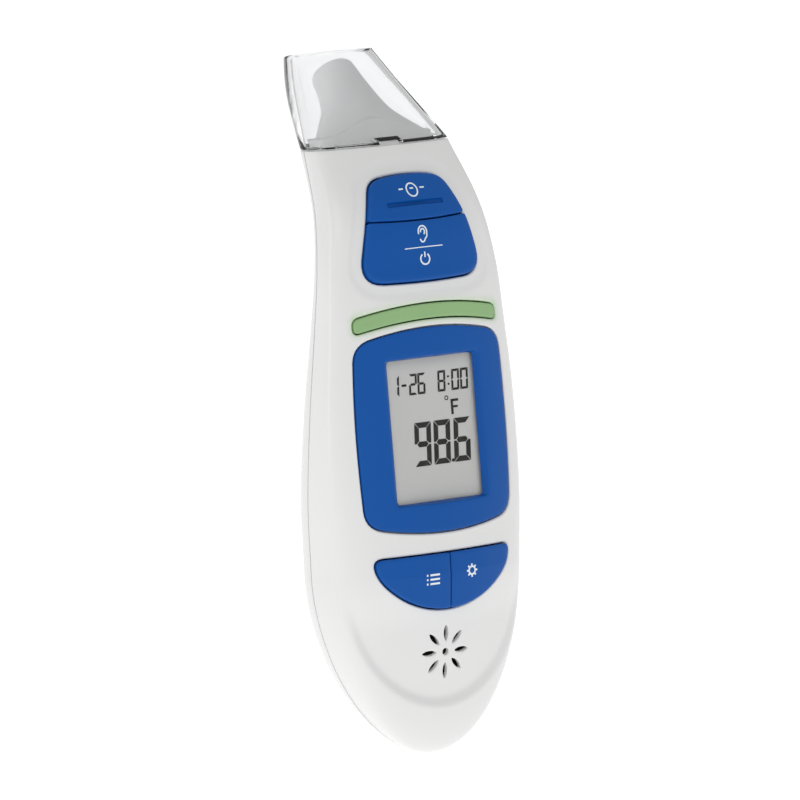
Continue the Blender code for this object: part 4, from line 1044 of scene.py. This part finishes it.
def front_shell(finish):
    body = shell("case_front", -1, finish)
    tools = opening(display_place(), grown(bezel_outline(), GAP), 5.0, ledge=BEZEL_LEDGE + GAP,
                    ledge_depth=BEZEL_THICKNESS + 1.5 * GAP)
    add_to(tools, opening(bar_place(), grown(bar_outline(), GAP), 5.0, spine=BAR_ARCH))
    add_to(tools, opening(keys, grown(keys_line, GAP), 4.2))
    add_to(tools, opening(mem_place(), grown(mem_outline(), GAP), 4.5))
    add_to(tools, petals())
    cut(body, tools, "face_openings")
    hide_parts("front_shell")
    return body


def rear_shell(finish):
    body = shell("case_rear", 1, finish)
    tools = opening(door_place(), grown(door_outline(), GAP), 6.0, ledge=DOOR_LEDGE + GAP,
                    ledge_depth=DOOR_THICKNESS + 1.5 * GAP, side=1)
    for x in (-SCREW_X, SCREW_X):
        place = Place((x, 0.0, seam_height(SCREW_HEIGHT)), 0.0)
        points = [Vector((math.cos(angle), math.sin(angle))) * (SCREW_HEAD + GAP)
                  for angle in [2.0 * math.pi * step / 32 for step in range(32)]]
        add_to(tools, opening(place, points, 5.0, side=1, lip=0.25))
    cut(body, tools, "back_openings")
    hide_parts("rear_shell")
    return body


def bezel(finish):
    """Blue frame: rounded outer lip, crowned face and drafted walls down to the window."""
    place = display_place()
    outer = bezel_outline()
    lip = KEY_LIP
    rows = [ring_on(place, grown(outer, -2.0), -BEZEL_THICKNESS), ring_on(place, outer, -BEZEL_THICKNESS)]
    for out, down in ((0.0, -1.0), (-0.07, -0.55), (-0.3, -0.22), (-0.75, -0.03)):
        rows.append(ring_on(place, grown(outer, out * lip), down * lip))
    start = grown(outer, -0.95 * lip)
    opening_ring, depths = [], []
    for index in range(len(outer)):
        deep = 0.0
        for _ in range(5):
            point = window_outline(deep)[index]
            deep = place.local(drop(place, point.x, point.y)).y
        opening_ring.append(point)
        depths.append(deep)
    edge = grown(opening_ring, 0.3)
    for step in range(9):
        share = step / 8.0
        ring = [a.lerp(b, share) for a, b in zip(start, edge)]
        rows.append(ring_on(place, ring, 0.0))
    rows.append(ring_on(place, grown(opening_ring, 0.1), -0.05))
    for step in range(1, 9):
        share = step / 8.0
        ring = []
        for index, deep in enumerate(depths):
            level = deep + 0.2 + (WINDOW_DEPTH - deep - 0.2) * share
            point = window_outline(level)[index]
            ring.append(place.point(point.x, level, point.y))
        rows.append(ring)
    under = grown(window_outline(WINDOW_DEPTH), 0.9)
    rows.append([place.point(point.x, WINDOW_DEPTH + 0.05, point.y) for point in under])
    rows.append(rows[0])
    bm = bent_sheet(rows, closed=True)
    face_outwards(bm)
    return piece("display_frame", bm, finish, "case", ("display_bezel",))


def head_key(finish):
    """Head key, with a shallow finger slot across it."""
    obj = piece("head_key", key_solid(keys, one_key_outline(1), KEY_RISE, KEY_DEPTH), finish)
    height = 43.4
    up = keys.local((0.0, body_section(height)[1], height)).z
    half, tall = 7.2, 0.48
    points = outline(((half, up - tall, 0.4, 0.0), (half, up + tall, 0.4, 0.0),
                      (-half, up + tall, 0.4, 0.0), (-half, up - tall, 0.4, 0.0)), corner_steps=6)
    rows = []
    for out, down in ((0.3, 1.2), (0.3, 0.3), (0.1, -0.03), (0.0, -0.2), (-0.08, -0.42), (-0.2, -0.55)):
        rows.append(ring_on(keys, grown(points, out), KEY_RISE + down))
    cut(obj, closed_solid(rows), "finger_slot")
    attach(obj, "head_button")
    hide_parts("head_button")


def face_keys(finishes):
    head_key(finishes["blue"])
    piece("ear_key", key_solid(keys, one_key_outline(-1), KEY_RISE, KEY_DEPTH), finishes["blue"],
          "ear_button", ("ear_button",))
    for side, name in ((-1, "mem"), (1, "set")):
        piece(f"{name}_key", key_solid(mem_place(), half_mem_outline(side), KEY_RISE, KEY_DEPTH),
              finishes["blue"], f"{name}_button", (f"{name}_button",))
    guide = key_solid(bar_place(), bar_outline(), 0.0, WALL, BAR_ARCH)
    piece("light_guide", guide, finishes["green"], "case", ("light_bar",))


# Printed signs on the keys

def arc(centre, radius, start, end, steps=16, tall=1.0):
    points = []
    for step in range(steps + 1):
        angle = math.radians(start + (end - start) * step / steps)
        points.append(Vector((centre[0] + radius * math.cos(angle),
                              centre[1] + tall * radius * math.sin(angle))))
    return points


def ink_line(bm, place, points, width, rise):
    """A printed line: a thin strap laid along points on a key's top."""
    rows = []
    count = len(points)
    shut = (points[0] - points[-1]).length < 1e-4
    for index, point in enumerate(points):
        before = points[index - 1] if index else (points[-2] if shut else point)
        after = points[index + 1] if index < count - 1 else (points[1] if shut else point)
        along = (after - before).normalized()
        across = Vector((along.y, -along.x)) * (width / 2.0)
        row = []
        for sign, grow in ((-1, PRINT_RISE), (1, PRINT_RISE), (1, -0.12), (-1, -0.12)):
            row.append(drop(place, point.x + sign * across.x, point.y + sign * across.y, rise + grow))
        rows.append(row)
    add_to(bm, closed_solid(rows))


def sign(name, place, lines, width, body, finish, rise=KEY_RISE):
    bm = bmesh.new()
    for points in lines:
        ink_line(bm, place, points, width, rise)
    return piece(name, bm, finish, body)


def moved(lines, x, up, size=1.0):
    return [[Vector((x + size * point.x, up + size * point.y)) for point in points] for points in lines]


def straight(x1, y1, x2, y2, steps=4):
    return [Vector((x1, y1)).lerp(Vector((x2, y2)), step / steps) for step in range(steps + 1)]


def head_sign():
    """A round head with two short rays at the brow."""
    lines = [arc((0.0, 0.0), 1.35, 0, 360, 28, 1.12)]
    lines += [straight(-0.45, 0.35, 0.45, 0.35)]
    for x in (-3.3, 3.3):
        lines.append(straight(0.66 * x, 0.35, x, 0.35))
    return lines


def ear_sign():
    """Outline of an ear with its inner fold."""
    outer = arc((0.0, 0.45), 1.15, 200, -20, 18, 1.15) + arc((0.25, -0.25), 0.85, -10, -60, 6)
    outer += arc((-0.15, -1.2), 0.6, -10, -190, 10)
    return [outer, arc((0.0, 0.45), 0.55, 190, -60, 12, 1.2)]


def power_sign():
    return [arc((0.0, 0.0), 1.15, 125, 415, 24), straight(0.0, 0.35, 0.0, 1.5)]


def list_sign():
    """Three short lines with a dot before each: stored readings."""
    lines = []
    for up in (-0.95, 0.0, 0.95):
        lines.append(straight(-0.75, up, 1.6, up))
        lines.append(straight(-1.6, up, -1.25, up, 1))
    return lines


def gear_sign():
    lines = [arc((0.0, 0.0), 0.85, 0, 360, 24)]
    for index in range(8):
        angle = math.radians(45 * index)
        lines.append(straight(0.95 * math.cos(angle), 0.95 * math.sin(angle),
                              1.45 * math.cos(angle), 1.45 * math.sin(angle), 1))
    return lines


def key_up(height):
    return keys.local((0.0, body_section(height)[1], height)).z


def key_signs(finish):
    sign("head_sign", keys, moved(head_sign(), 0.0, key_up(45.9)), 0.34, "head_button", finish)
    sign("ear_sign", keys, moved(ear_sign(), 0.0, key_up(37.0), 0.95), 0.32, "ear_button", finish)
    sign("ear_rule", keys, [straight(-4.9, key_up(34.2), 4.9, key_up(34.2), 12)], 0.2, "ear_button", finish)
    sign("power_sign", keys, moved(power_sign(), 0.0, key_up(31.7)), 0.34, "ear_button", finish)
    lower = mem_place()
    sign("list_sign", lower, moved(list_sign(), -4.6, 0.7), 0.42, "mem_button", finish)
    sign("gear_sign", lower, moved(gear_sign(), 5.6, 1.5), 0.4, "set_button", finish)


# Display figures

SEGMENTS = {"0": "abcdef", "1": "bc", "2": "abged", "6": "afgedc", "8": "abcdefg", "9": "abcdfg", "-": "g"}


def plate(bm, place, points):
    """Thin flat plate of display ink with a given outline."""
    verts = [bm.verts.new(place.point(point.x, INK_TOP, point.y) * MM) for point in points]
    face = bm.faces.new(verts)
    raised = bmesh.ops.extrude_face_region(bm, geom=[face])
    moved_verts = [item for item in raised["geom"] if isinstance(item, bmesh.types.BMVert)]
    bmesh.ops.translate(bm, vec=place.inward * (INK_FOOT - INK_TOP) * MM, verts=moved_verts)


def figure(bm, place, sign_text, x, up, wide, tall, stroke, lean=0.06):
    """One seven-segment figure, centred on (x, up)."""
    half, top = wide / 2.0, tall / 2.0
    slit = 0.09 * stroke
    s = stroke
    shapes = {
        "a": ((-half + slit, top), (half - slit, top), (half - s, top - s), (-half + s, top - s)),
        "d": ((-half + s, -top + s), (half - s, -top + s), (half - slit, -top), (-half + slit, -top)),
        "g": ((-half + s * 0.6, 0.0), (-half + s, s / 2), (half - s, s / 2), (half - s * 0.6, 0.0),
              (half - s, -s / 2), (-half + s, -s / 2)),
        "b": ((half, top - slit), (half, s * 0.12), (half - s * 0.45, s * 0.1), (half - s, s * 0.6),
              (half - s, top - s - slit)),
        "c": ((half, -s * 0.12), (half, -top + slit), (half - s, -top + s + slit), (half - s, -s * 0.6),
              (half - s * 0.45, -s * 0.1)),
    }
    shapes["f"] = tuple((-a, b) for a, b in shapes["b"])
    shapes["e"] = tuple((-a, b) for a, b in shapes["c"])
    for label in SEGMENTS[sign_text]:
        points = [Vector((x + a + lean * b, up + b)) for a, b in shapes[label]]
        plate(bm, place, points)


def dot(bm, place, x, up, radius, inner=0.0):
    ring = [Vector((x + radius * math.cos(a), up + radius * math.sin(a)))
            for a in [2.0 * math.pi * step / 20 for step in range(20)]]
    if not inner:
        plate(bm, place, ring)
        return
    hole = [Vector((x + inner * math.cos(a), up + inner * math.sin(a)))
            for a in [2.0 * math.pi * step / 20 for step in range(20)]]
    rows = [[place.point(p.x, depth, p.y) for p in points]
            for points, depth in ((ring, INK_FOOT), (ring, INK_TOP), (hole, INK_TOP), (hole, INK_FOOT),
                                  (ring, INK_FOOT))]
    made = bent_sheet(rows, closed=True)
    bmesh.ops.recalc_face_normals(made, faces=made.faces)
    add_to(bm, made)


def display_figures(finish):
    place = display_place()
    half = face_half_width(DISPLAY_MIDDLE, BEZEL_MARGIN) - FRAME_SIDE - WINDOW_SIDE_DRAFT * WINDOW_DEPTH
    top = BEZEL_HEIGHT / 2.0 - FRAME_TOP - WINDOW_END_DRAFT * WINDOW_DEPTH
    tall = 2.0 * top

    def across(share):
        return (2.0 * share - 1.0) * half

    bm = bmesh.new()
    line = top - 0.178 * tall
    for text, share in (("1", 0.105), ("-", 0.208), ("2", 0.313), ("6", 0.412), ("8", 0.648), ("0", 0.81),
                        ("0", 0.914)):
        figure(bm, place, text, across(share), line, 0.092 * 2.0 * half, 0.147 * tall, 0.52)
    for step in (-1, 1):
        dot(bm, place, across(0.729), line + step * 0.8, 0.26)
    big = top - 0.598 * tall
    for text, share in (("9", 0.374), ("8", 0.6), ("6", 0.836)):
        figure(bm, place, text, across(share), big, 0.195 * 2.0 * half, 0.305 * tall, 1.2)
    dot(bm, place, across(0.712), top - 0.735 * tall, 0.38)
    dot(bm, place, across(0.689), top - 0.299 * tall, 0.52, 0.28)
    x, up = across(0.735), top - 0.364 * tall
    bars = (((0.0, -1.65), (0.62, -1.65), (0.62, 1.65), (0.0, 1.65)),
            ((0.62, 1.65), (0.62, 1.1), (2.0, 1.1), (2.0, 1.65)),
            ((0.62, 0.25), (0.62, -0.25), (1.8, -0.25), (1.8, 0.25)))
    for bar in bars:
        plate(bm, place, [Vector((x + a, up + b)) for a, b in bar])
    bmesh.ops.recalc_face_normals(bm, faces=bm.faces)
    piece("display_figures", bm, finish, "case")


# Probe

def clear_cap(finish):
    """Clear cover: an even wall with a rounded rim and a notch for the latch."""
    rows_up = 30
    start = seam_height(GAP)
    rows = []
    for step in range(rows_up + 1):
        share = step / rows_up
        rows.append(full_ring(cap_section(share), start + (CAP_HEIGHT - GAP) * share, cap_fullness(share)))
    top = start + CAP_HEIGHT - GAP
    radius = CAP_WALL / 2.0
    for step in range(1, 8):
        angle = math.pi * step / 8
        grow = -radius + radius * math.cos(angle)
        rows.append(full_ring(cap_section(1.0, grow), top + 0.55 * radius * math.sin(angle), cap_fullness(1.0)))
    for step in range(rows_up + 1):
        share = 1.0 - step / rows_up
        height = start + (CAP_HEIGHT - GAP) * share
        rows.append(full_ring(cap_section(share, -CAP_WALL), height, cap_fullness(share)))
    rows.append(rows[0])
    bm = bent_sheet(rows, closed=True)
    face_outwards(bm)
    foot = [edge for edge in bm.edges
            if len(edge.link_faces) == 2 and edge.calc_face_angle() > math.radians(50.0)]
    bmesh.ops.bevel(bm, geom=foot, offset=0.25 * MM, offset_type="OFFSET", segments=2, profile=0.5,
                    affect="EDGES", clamp_overlap=True, material=-1)
    cap = piece("clear_cover", bm, finish, "probe_cap", ("probe_cap",), sharp=40.0)
    place = Place((0.0, body_section(SEAM_HEIGHT)[1], SEAM_HEIGHT + GAP), 0.0)
    half = LATCH_WIDTH / 2.0 + GAP
    points = outline(((half, -2.0, 0.3, 0.0), (half, 1.5, 0.3, 0.0), (-half, 1.5, 0.3, 0.0),
                      (-half, -2.0, 0.3, 0.0)))
    rows = [[place.point(point.x, deep, point.y) for point in points] for deep in (-3.0, 3.4)]
    cut(cap, closed_solid(rows), "latch_notch")
    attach(cap, "probe_cap")


def probe_axis(distance):
    lean = math.radians(TIP_LEAN)
    return (TIP_BACK - distance * math.sin(lean), seam_height(TIP_HEIGHT) - distance * math.cos(lean))


def ring_at(middle, tilt, half_width, half_depth, steps=128):
    points = []
    for step in range(steps):
        angle = 2.0 * math.pi * step / steps
        out = -half_depth * math.sin(angle)
        points.append(Vector((half_width * math.cos(angle), middle[0] + out * math.cos(tilt),
                              middle[1] - out * math.sin(tilt))))
    return points


def through(rings, steps):
    """Rings on a smooth curve through the given rings, point by point."""
    ends = [rings[0]] + rings + [rings[-1]]
    made = []
    for before, start, end, after in zip(ends, ends[1:], ends[2:], ends[3:]):
        for step in range(steps):
            t = step / steps
            made.append([0.5 * (2 * b + (c - a) * t + (2 * a - 5 * b + 4 * c - d) * t * t
                                + (3 * b - a - 3 * c + d) * t ** 3)
                         for a, b, c, d in zip(before, start, end, after)])
    made.append(rings[-1])
    return made


def nose(finish):
    """Collar with an arched front edge, a shoulder and the hollow cone."""
    inset = -(WALL + NOSE_GAP)
    low = seam_height(-COLLAR_DEPTH)
    lean = math.radians(TIP_LEAN)
    cap_inset = -(CAP_WALL + NOSE_GAP)
    foot = full_ring(body_section(low, inset), low, FRONT_FULLNESS)
    seat = full_ring(body_section(SEAM_HEIGHT, inset), SEAM_HEIGHT, FRONT_FULLNESS)

    def collar(share, grow):
        section = cap_section(share, grow)
        free = body_section(SEAM_HEIGHT, inset)[3] + CAP_HEIGHT * share * math.tan(math.radians(CAP_LEAN))
        section = section[:3] + (min(section[3], free),) + section[4:]
        return full_ring(section, SEAM_HEIGHT + CAP_HEIGHT * share, cap_fullness(share))

    side_ring, arch_ring = collar(0.09, cap_inset), collar(0.27, cap_inset)
    rim = []
    for first, second in zip(side_ring, arch_ring):
        arched = 1.0 - smooth(0.0, 15.0, abs(first.x))
        front = 1.0 if first.y < body_section(SEAM_HEIGHT)[2] + 4.0 else 0.35
        rim.append(first.lerp(second, arched * front))
    shelf = [point + (Vector((0.0, probe_axis(12.0)[0], point.z)) - point) * 0.09 + Vector((0.0, 0.0, 0.15))
             for point in rim]
    cone = []
    for distance, width, depth, tilt in CONE_RINGS:
        cone.append(ring_at(probe_axis(distance), lean * tilt, width, depth))
    cone.append(ring_at(probe_axis(1.6), lean, TIP_RADIUS, TIP_RADIUS))
    rows = [foot, seat] + [[a.lerp(b, t) for a, b in zip(seat, rim)] for t in (0.5, 0.93, 1.0)]
    rows += [[a.lerp(b, t) for a, b in zip(rim, shelf)] for t in (0.15, 0.6)]
    rows += through([shelf] + cone, 7)
    for step in range(1, 8):
        angle = math.pi / 2.0 * step / 7
        radius = TIP_RADIUS - 1.2 + 1.2 * math.cos(angle)
        rows.append(ring_at(probe_axis(1.6 - 1.5 * math.sin(angle)), lean, radius, radius))
    for distance in (0.2, 5.0, 11.0):
        rows.append(ring_at(probe_axis(distance), lean, TIP_BORE, TIP_BORE))
    inner_foot = full_ring(body_section(low, inset - NOSE_WALL), low, FRONT_FULLNESS)
    rows += [inner_foot, foot]
    bm = bent_sheet(rows, closed=True)
    face_outwards(bm)
    piece("probe_nose_cone", bm, finish, "case", ("probe_nose",), sharp=38.0)


def latch(finish):
    """Tab under the cap's front edge that holds the cap."""
    half = LATCH_WIDTH / 2.0
    points = outline(((half, 0.0, 0.25, 0.0), (half, 1.25, 0.25, 0.0), (-half, 1.25, 0.25, 0.0),
                      (-half, 0.0, 0.25, 0.0)))
    rows = []
    for grow, deep in ((-0.12, 0.25), (0.0, 0.4), (0.0, 2.9)):
        ring = []
        for point in grown(points, grow):
            front = half_front(point.x, SEAM_HEIGHT + GAP + point.y)
            ring.append(Vector((point.x, front + deep, SEAM_HEIGHT + GAP + point.y)))
        rows.append(ring)
    piece("cap_latch", closed_solid(rows), finish, "case")


def half_front(x, height):
    """Front of the cap's outer surface at a place across and a height just above the seam."""
    half, front, middle, _, _ = cap_section((height - SEAM_HEIGHT) / CAP_HEIGHT)
    return middle - (middle - front) * rise_share(min(1.0, abs(x) / half), -1, FRONT_FULLNESS)


# Back pieces

def battery_door(finish):
    """Door with a rounded lip, hooks at its foot and a ridged thumb grip at its top."""
    place = door_place()
    points = door_outline()
    lip = KEY_LIP
    rows = [ring_on(place, grown(points, -0.5), -DOOR_THICKNESS, 1)]
    for out, down in ((0.0, -3.6), (0.0, -1.0), (-0.07, -0.55), (-0.3, -0.22), (-0.75, -0.03)):
        rows.append(ring_on(place, grown(points, out * lip), down * lip, 1))
    inner = grown(points, -0.9 * lip)
    for ring in inset_rings(inner, 24):
        rows.append(ring_on(place, ring, 0.0, 1))
    bm = bent_sheet(rows, closed=True)
    bottom = []
    for step in range(1, 13):
        share = 1.0 - step / 12.3
        bottom.append([drop(place, point.x * share, point.y * share, -DOOR_THICKNESS, 1)
                       for point in grown(points, -0.5)])
    under = bent_sheet([rows[0]] + bottom, closed=True)
    add_to(bm, under)
    bmesh.ops.remove_doubles(bm, verts=bm.verts, dist=3e-6)
    bmesh.ops.holes_fill(bm, edges=[edge for edge in bm.edges if edge.is_boundary])
    face_outwards(bm)
    top = (DOOR_HIGH - DOOR_LOW) / 2.0
    for index in range(6):
        up = top - 4.5 - 1.7 * index
        half = 6.5 - 0.75 * index
        ridge = outline(((half, up - 0.4, 0.35, 0.0), (half, up + 0.4, 0.35, 0.0),
                         (-half, up + 0.4, 0.35, 0.0), (-half, up - 0.4, 0.35, 0.0)), corner_steps=4)
        rings = [ring_on(place, grown(ridge, out), rise, 1)
                 for out, rise in ((0.05, -0.4), (0.05, 0.05), (-0.05, 0.28), (-0.2, 0.36))]
        add_to(bm, closed_solid(rings))
    for side in (-1, 1):
        add_to(bm, hook(side))
    piece("back_door", bm, finish, "battery_door", ("battery_door",))


def hook(side):
    """Hook at the door's foot that tucks behind the case."""
    low = seam_height(DOOR_LOW)
    back = body_section(low)[3]
    rows = []
    x = side * HOOK_X
    profile = ((-0.9, 3.6), (-3.2, 3.6), (-3.9, 2.9), (-3.9, -0.6), (-3.5, -1.0), (-3.0, -0.6),
               (-3.0, 2.1), (-0.9, 2.1))
    for across in (x - HOOK_WIDTH / 2.0, x + HOOK_WIDTH / 2.0):
        rows.append([Vector((across, back + deep, low + up)) for deep, up in profile])
    return closed_solid(rows)


def spun(profile, place, steps=48):
    """Round piece spun about a place's up axis from a profile of (radius, up)."""
    bm = bmesh.new()
    verts = [bm.verts.new(Vector((radius, 0.0, up)) * MM) for radius, up in profile]
    edges = [bm.edges.new(pair) for pair in zip(verts, verts[1:])]
    bmesh.ops.spin(bm, geom=verts + edges, cent=(0, 0, 0), axis=(0, 0, 1), angle=2.0 * math.pi, steps=steps,
                   use_merge=True)
    bmesh.ops.remove_doubles(bm, verts=bm.verts, dist=2e-6)
    face_outwards(bm)
    turn = place.matrix.to_3x3().to_4x4()
    bmesh.ops.transform(bm, matrix=Matrix.Translation(place.origin * MM) @ turn, verts=bm.verts)
    return bm


def screws(finish):
    """Pan-head screws with a cross recess, in the wells at the back."""
    for name in ("screw_left", "screw_right"):
        low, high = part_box(name)
        x, z = (low.x + high.x) / 2.0 / MM, (low.z + high.z) / 2.0 / MM
        length = (high.y - low.y) / MM
        place = Place((x, high.y / MM, z), math.pi / 2.0)
        profile = [(0.0, 0.0), (1.2, -0.02), (1.75, -0.16), (2.1, -0.45), (SCREW_HEAD, -0.8),
                   (SCREW_HEAD, -1.35), (1.1, -1.4)]
        turns = 9
        for index in range(turns):
            up = -2.2 - (length - 3.6) * index / turns
            profile += [(1.1, up), (0.82, up - 0.3)]
        profile += [(0.8, 0.9 - length), (0.0, -length)]
        screw = piece(f"case_{name}", spun(profile, place, 36), finish, "case", (name,))
        for wide, tall in ((0.28, 1.35), (1.35, 0.28)):
            rows = []
            for deep, share in ((-1.0, 1.0), (0.0, 1.0), (1.0, 0.35)):
                rows.append([Vector((x + a * wide * share, high.y / MM - deep, z + b * tall * share))
                             for a, b in ((-1, -1), (1, -1), (1, 1), (-1, 1))])
            cut(screw, closed_solid(rows), "cross_recess")


def cells(finish):
    for name in ("cell_left", "cell_right"):
        low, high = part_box(name)
        centre = (low + high) / 2.0 / MM
        radius = (high.x - low.x) / 2.0 / MM
        top = (high.z - low.z) / 2.0 / MM
        profile = [(0.0, top), (2.3, top), (2.6, top - 0.25), (2.6, top - 1.0), (radius - 0.8, top - 1.05),
                   (radius - 0.2, top - 1.2), (radius, top - 1.6), (radius, 0.5 - top),
                   (radius - 0.25, 0.1 - top), (radius - 0.7, -top), (0.0, -top)]
        place = Place(centre, 0.0 if name == "cell_left" else math.pi)
        piece(f"battery_{name}", spun(profile, place), finish, "case", (name,), sharp=28.0)


def inner_finishes(finishes):
    """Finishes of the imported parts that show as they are."""
    for name, finish in (("display_window", "window"), ("lcd_panel", "lcd"), ("lcd_holder", "nose"),
                         ("zebra_strip", "rubber"), ("main_pcb", "board"), ("button_pcb", "board"),
                         ("mcu_chip", "black"), ("led_left", "led"), ("led_right", "led"),
                         ("head_switch", "black"), ("ear_switch", "black"), ("mem_switch", "black"),
                         ("set_switch", "black"), ("board_cable", "cable"), ("speaker", "black"),
                         ("speaker_gasket", "rubber"), ("probe_window", "window"), ("waveguide_tube", "gold"),
                         ("sensor_block", "aluminium"), ("thermopile", "steel"), ("sensor_leads", "cable"),
                         ("battery_tray", "nose"), ("contact_positive", "steel"), ("contact_negative", "steel"),
                         ("contact_link", "steel"), ("spring_negative", "steel"), ("spring_link", "steel"),
                         ("lead_red", "red"), ("lead_black", "black")):
        mesh = nodes[name].data
        mesh.materials.clear()
        mesh.materials.append(finishes[finish])


# Stage, light and camera

def stage():
    floor = bmesh.new()
    bmesh.ops.create_grid(floor, x_segments=8, y_segments=8, size=12.0)
    bmesh.ops.translate(floor, vec=(0.0, 0.0, -0.42), verts=floor.verts)
    made, _, shader, _ = moulded("pale_floor", (0.86, 0.86, 0.86), 0.8, skin=30.0, depth=0.0, waves=0.0,
                                 shade=0.01)
    shader.inputs["Emission Color"].default_value = (1.0, 1.0, 1.0, 1.0)
    shader.inputs["Emission Strength"].default_value = 0.6
    mesh = bpy.data.meshes.new("floor")
    floor.to_mesh(mesh)
    floor.free()
    mesh.materials.append(made)
    obj = bpy.data.objects.new("floor", mesh)
    bpy.context.scene.collection.objects.link(obj)


def soft_light(name, place, aim, size, power, shape=None):
    lamp = bpy.data.lights.new(name, "AREA")
    lamp.energy = power
    lamp.size = size
    if shape:
        lamp.shape = "RECTANGLE"
        lamp.size_y = shape
    obj = bpy.data.objects.new(name, lamp)
    bpy.context.scene.collection.objects.link(obj)
    obj.location = place
    obj.rotation_euler = (Vector(aim) - Vector(place)).to_track_quat("-Z", "Y").to_euler()


def light():
    world = bpy.data.worlds.new("studio")
    bpy.context.scene.world = world
    world.use_nodes = True
    background = world.node_tree.nodes["Background"]
    background.inputs["Color"].default_value = (1.0, 1.0, 1.0, 1.0)
    background.inputs["Strength"].default_value = 0.6
    soft_light("key_light", (-0.9, -1.1, 1.3), (0.0, 0.0, 0.0), 1.0, 3.5)
    soft_light("side_strip", (-1.3, 0.25, 0.35), (0.0, 0.0, 0.0), 0.22, 1.6, 1.0)


def camera():
    lens = bpy.data.cameras.new("camera")
    lens.sensor_width = 36.0
    lens.lens = 314.0
    lens.clip_start = 0.05
    lens.clip_end = 60.0
    obj = bpy.data.objects.new("camera", lens)
    bpy.context.scene.collection.objects.link(obj)
    azimuth, elevation, distance = math.radians(-35.0), math.radians(10.5), 1.5
    back = Vector((math.sin(azimuth) * math.cos(elevation), -math.cos(azimuth) * math.cos(elevation),
                   math.sin(elevation)))
    right = Vector((math.cos(azimuth), math.sin(azimuth), 0.0))
    aim = right * (-0.65 * MM)
    obj.location = aim + back * distance
    obj.rotation_mode = "QUATERNION"
    obj.rotation_quaternion = (-back).to_track_quat("-Z", "Y")
    bpy.context.scene.camera = obj


finishes = make_finishes()
front_shell(finishes["white"])
rear_shell(finishes["white"])
bezel(finishes["blue"])
face_keys(finishes)
key_signs(finishes["print"])
display_figures(finishes["ink"])
clear_cap(finishes["cap"])
nose(finishes["nose"])
latch(finishes["white"])
battery_door(finishes["white"])
screws(finishes["steel"])
cells(finishes["cell"])
inner_finishes(finishes)
stage()
light()
camera()
bpy.context.scene.view_settings.view_transform = "Standard"
